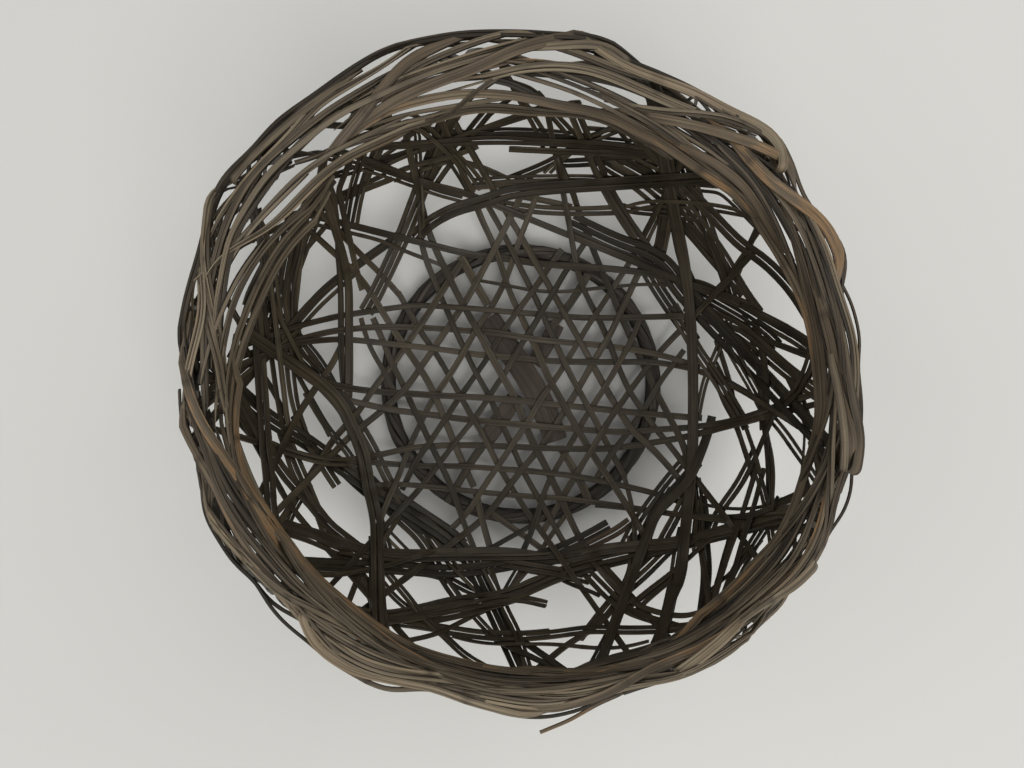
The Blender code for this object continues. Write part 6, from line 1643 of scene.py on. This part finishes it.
off = []
for k, (width, kind, high, points) in enumerate(OFF_RIM):
    line = smooth(points, 3.0)
    depth = EYE[2] - high
    p = np.stack([EYE[0] + (line[:, 0] - SHEET_X) / SHEET * depth, EYE[1] - (line[:, 1] - SHEET_Y) / SHEET * depth, np.full(len(line), high)], axis=1)
    p[:, 2] += wander(len(p), 12, 900 + k, 0.0018)
    for end in (0, 1):
        if kind == "w" and not end:
            continue  # this end stands free
        q = p if end else p[::-1]
        turn = math.atan2(q[-1, 1], q[-1, 0])
        way = math.copysign(1.0, q[-1] @ np.array([-math.sin(turn), math.cos(turn), 0.0]) - q[-4] @ np.array([-math.sin(turn), math.cos(turn), 0.0]))
        n = np.arange(1, 13)
        s = (n / 12.0) ** 1.4
        a = turn + way * n * 0.0026 / 0.146
        r = math.hypot(q[-1, 0], q[-1, 1])
        r = r + (ring(RIM_R, a) + 0.3 * ring(RIM_WIDE, a) - r) * s
        z = q[-1, 2] + (0.1745 - q[-1, 2]) * s
        more = np.stack([r * np.cos(a), r * np.sin(a), z], axis=1)
        q = np.concatenate([q, more])
        for _ in range(8):
            q[1:-1] = 0.5 * q[1:-1] + 0.25 * (q[:-2] + q[2:])
        p = q if end else q[::-1]
    out = unit(p * np.array([1.0, 1.0, 0.0]))
    p, n = evenly(p, 0.0028, unit(out * 0.55 + np.array([0.0, 0.0, 1.0])))
    off.append(Strand("rim_stray_splints", p, n, np.full(len(p), width * 0.5 * depth / SHEET), SPLINT_T, kind, 0.0))

# ------------------------------------------------------------------ the foot and the outer hoop
foot = []
for k in range(11):
    angle = np.linspace(0, 2 * math.pi, 181)
    phase = 2 * math.pi * k / 11 + 5 * angle + 0.25 * np.sin(3 * angle + k) + 0.1 * np.sin(7 * angle + 2 * k)
    away = np.stack([np.cos(phase) * np.cos(angle), np.cos(phase) * np.sin(angle), np.sin(phase)], axis=1)
    mid = np.stack([FOOT_R * np.cos(angle), FOOT_R * np.sin(angle), np.full(181, 0.00450)], axis=1)
    p = mid + away * np.array([0.0040, 0.0040, 0.0037])
    s = Strand("foot_hoop_lower" if k % 2 else "foot_hoop_upper", p, away, np.full(181, 0.0015), 0.0009, ("b", "d", "b", "g")[k % 4], 0.0)
    s.loop = True
    foot.append(s)
for k in range(4):
    angle = np.linspace(0, 2 * math.pi, 121)
    p = np.stack([(FOOT_R + 0.0018 * math.cos(k * 1.57)) * np.cos(angle), (FOOT_R + 0.0018 * math.cos(k * 1.57)) * np.sin(angle), np.full(121, 0.00425 + 0.0016 * math.sin(k * 1.57))], axis=1)
    away = unit(p * np.array([1.0, 1.0, 0.0])) * math.cos(k * 1.57) + np.array([0.0, 0.0, 1.0]) * math.sin(k * 1.57)
    s = Strand("foot_hoop_lower", p, away, np.full(121, 0.0019), 0.0012, "d", 0.0)
    s.loop = True
    foot.append(s)

wall = np.concatenate([s.P + s.D * s.lift[:, None] - s.N * (s.thick / 2) for s in bowl])


def wall_outside(z, reach):
    """Outermost radius of the woven wall near a height, by half degrees, as a taut band would lie on it."""
    near = wall[np.abs(wall[:, 2] - z) < reach]
    turn = (np.degrees(np.arctan2(near[:, 1], near[:, 0])) * 2 % 720).astype(int)
    grid = np.full(720, 0.0)
    np.maximum.at(grid, turn, np.hypot(near[:, 0], near[:, 1]))
    for _ in range(5):
        grid = np.maximum(grid, np.maximum(np.roll(grid, 1), np.roll(grid, -1)))
    low = np.median(grid) - 0.003
    grid = np.maximum(grid, low)
    for _ in range(40):
        mean = 0.5 * (np.roll(grid, 1) + np.roll(grid, -1))
        grid = np.maximum(grid, mean)
    for _ in range(12):
        grid = 0.5 * grid + 0.25 * (np.roll(grid, 1) + np.roll(grid, -1))
    return grid


def weave_underside():
    """Height of the weave's underside over the foot, by half degrees, as a bundle that carries it would lie against it."""
    near = wall[(np.abs(np.hypot(wall[:, 0], wall[:, 1]) - FOOT_R) < 0.0065) & (wall[:, 2] < 0.030)]
    turn = (np.degrees(np.arctan2(near[:, 1], near[:, 0])) * 2 % 720).astype(int)
    grid = np.full(720, 0.0140)
    np.minimum.at(grid, turn, near[:, 2])
    for _ in range(3):
        grid = np.minimum(grid, np.minimum(np.roll(grid, 1), np.roll(grid, -1)))
    for _ in range(40):
        grid = np.minimum(grid, 0.5 * (np.roll(grid, 1) + np.roll(grid, -1)))
    for _ in range(12):
        grid = 0.5 * grid + 0.25 * (np.roll(grid, 1) + np.roll(grid, -1))
    return np.maximum(grid, 0.0108)


# a flat bundle on the foot that carries the weave, up to its underside
SEAT = weave_underside()
print("foot seat %.4f %.4f" % (SEAT.min(), SEAT.max()))
for k in range(8):
    angle = np.linspace(0, 2 * math.pi, 361)
    high = 0.5 * (ring(SEAT, angle) - 0.0083)
    phase = 2 * math.pi * k / 8 + 4 * angle + 0.25 * np.sin(3 * angle + k) + 0.1 * np.sin(7 * angle + 2 * k)
    wide, up = 0.0034, np.maximum(high - 0.0004, 0.0008)
    rad = FOOT_R + wide * np.cos(phase)
    p = np.stack([rad * np.cos(angle), rad * np.sin(angle), 0.0083 + high + up * np.sin(phase)], axis=1)
    away = unit(np.stack([np.cos(phase) / wide * np.cos(angle), np.cos(phase) / wide * np.sin(angle), np.sin(phase) / up], axis=1))
    s = Strand("foot_seat_splints", p, away, np.full(361, 0.0013), 0.0008, ("b", "d", "g", "b")[k % 4], 0.0)
    s.loop = True
    foot.append(s)

# splints that come out of the wall, lean over its shoulder and go up into the rim's outer edge, below what the plan shows
ties = []
LEVELS = np.arange(0.118, 0.1701, 0.004)
REACH = np.array([wall_outside(z, 0.004) for z in LEVELS])
for k in range(64):
    r = np.random.default_rng(880 + k)
    way = 1 if k % 2 else -1
    a0 = 2 * math.pi * (k + r.uniform(-0.4, 0.4)) / 64
    z = np.arange(0.1765, r.uniform(0.126, 0.133), -0.0016)
    angle = a0 + way * math.tan(math.radians(r.uniform(12, 56))) * (z[0] - z) / 0.156 * (0.55 + 0.45 * (z[0] - z) / 0.045)
    level = np.clip((z - LEVELS[0]) / 0.004, 0, len(LEVELS) - 1.001)
    at = ((np.degrees(angle) * 2) % 720).astype(int)
    low = level.astype(int)
    out = (REACH[low, at] * (1 - level + low) + REACH[low + 1, at] * (level - low)) + 0.0006
    top = ring(OUTSIDE, angle) - 0.0028
    s = np.clip((z - 0.158) / 0.014, 0, 1)
    s = s * s * (3 - 2 * s)
    inside = np.interp(z, MERIDIAN[:, 1], MERIDIAN[:, 0]) * oval(angle, z) - 0.0022
    e = np.clip((0.151 - z) / 0.013, 0, 1)
    e = e * e * (3 - 2 * e)
    rad = blur((out * (1 - s) + top * s) * (1 - e) + inside * e, 10)
    p = np.stack([rad * np.cos(angle), rad * np.sin(angle), z], axis=1)
    spots = to_sheet(p)
    if max(band_place(q) for q in spots) > 0.985 or np.mean([is_open(q) for q in spots]) > 0.03:
        continue
    width = r.choice([0.0018, 0.0022, 0.0027, 0.0034])
    p, n = evenly(p, STEP, unit(p * np.array([1.0, 1.0, 0.0]) + np.array([0.0, 0.0, 0.02])))
    ties.append(Strand(f"tie_splints_{1 + k * 2 // 64}", p, n, np.full(len(p), width / 2), SPLINT_T, str(r.choice(["b", "g", "b", "d"])), 0.0))
print("ties", len(ties))

hoops = []
for k, (z, wide) in enumerate(((0.1264, 0.0030), (0.1304, 0.0036), (0.1342, 0.0026))):
    angle = np.linspace(0, 2 * math.pi, 361)
    zz = z + 0.0004 * np.sin(4 * angle + k) + 0.0003 * np.sin(9 * angle + 2 * k)
    r = np.minimum(ring(wall_outside(z, 0.004), angle) + 0.0007, 0.1646)
    p = np.stack([r * np.cos(angle), r * np.sin(angle), zz], axis=1)
    s = Strand("outer_hoop", p, unit(p * np.array([1.0, 1.0, 0.0])), np.full(361, wide / 2), 0.0009, ("g", "b", "l")[k], 0.0)
    s.loop = True
    hoops.append(s)

# ------------------------------------------------------------------ pieces
SLOT = {"strip": "split_strip", "band": "wide_band", "floor_slat": "floor_slat", "rim": "rim_splint", "outer": "rim_splint", "foot": "bundle"}
groups = {}
for s in bowl + rim + off + foot + ties + hoops:
    groups.setdefault(s.piece, []).append(s)
for name, strands in groups.items():
    if name.startswith("floor_slat"):
        mat, slot = SLAT_BAMBOO, "floor_slat"
    elif name.startswith("foot"):
        mat, slot = FOOT_BAMBOO, "bundle"
    elif name.startswith("rim_core"):
        mat, slot = RIM_BAMBOO, "bundle"
    elif name.startswith(("rim", "outer", "tie")):
        mat, slot = RIM_BAMBOO, "rim_splint"
    elif name.startswith("band"):
        mat, slot = WEAVE, "wide_band"
    else:
        mat, slot = WEAVE, "split_strip"
    obj = piece_mesh(name + "_look", strands, mat)
    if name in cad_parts:
        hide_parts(name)
    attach(obj, "root")


# ------------------------------------------------------------------ floor, light, camera
def plain(name, colour, rough):
    mat = bpy.data.materials.new(name)
    mat.use_nodes = True
    b = mat.node_tree.nodes["Principled BSDF"]
    n = mat.node_tree.nodes.new("ShaderNodeTexNoise")
    n.inputs["Scale"].default_value = 2.2
    n.inputs["Detail"].default_value = 2.0
    m = mat.node_tree.nodes.new("ShaderNodeMix")
    m.data_type = "RGBA"
    m.inputs[6].default_value = tuple(c * 0.975 for c in colour) + (1.0,)
    m.inputs[7].default_value = colour + (1.0,)
    mat.node_tree.links.new(n.outputs["Fac"], m.inputs["Factor"])
    mat.node_tree.links.new(m.outputs[2], b.inputs["Base Color"])
    b.inputs["Roughness"].default_value = rough
    b.inputs["Specular IOR Level"].default_value = 0.15
    return mat


mesh = bpy.data.meshes.new("stage_floor")
mesh.from_pydata([(-6, -6, 0), (6, -6, 0), (6, 6, 0), (-6, 6, 0)], [], [(0, 1, 2, 3)])
floor = bpy.data.objects.new("stage_floor", mesh)
bpy.context.scene.collection.objects.link(floor)
mesh.materials.append(plain("stage_paper", (0.645, 0.645, 0.63), 0.8))

world = bpy.data.worlds.new("studio")
bpy.context.scene.world = world
world.use_nodes = True
world.node_tree.nodes["Background"].inputs["Color"].default_value = (1.0, 0.995, 0.97, 1.0)
world.node_tree.nodes["Background"].inputs["Strength"].default_value = 0.42


def lamp(name, place, size, watts, colour=(1.0, 1.0, 1.0)):
    light = bpy.data.lights.new(name, "AREA")
    light.shape = "DISK"
    light.size = size
    light.energy = watts
    light.color = colour
    obj = bpy.data.objects.new(name, light)
    obj.location = place
    obj.rotation_euler = (-Vector(place)).to_track_quat("-Z", "Y").to_euler()
    bpy.context.scene.collection.objects.link(obj)


lamp("soft_key", (0.35, -0.95, 1.75), 1.3, 19.0, (1.0, 0.985, 0.955))
lamp("soft_fill", (0.9, 0.8, 1.5), 1.5, 10.0, (1.0, 0.99, 0.97))
lamp("soft_side", (-1.4, 0.3, 1.4), 1.5, 7.0, (1.0, 0.99, 0.97))

cam = bpy.data.cameras.new("camera")
cam.sensor_fit = "HORIZONTAL"
cam.sensor_width = 36.0
cam.lens = 36.0 * SHEET / 1024.0
cam.clip_start = 0.01
camera = bpy.data.objects.new("camera", cam)
camera.location = EYE
camera.rotation_euler = (0.0, 0.0, 0.0)
bpy.context.scene.collection.objects.link(camera)
bpy.context.scene.camera = camera
bpy.context.scene.view_settings.view_transform = "Standard"
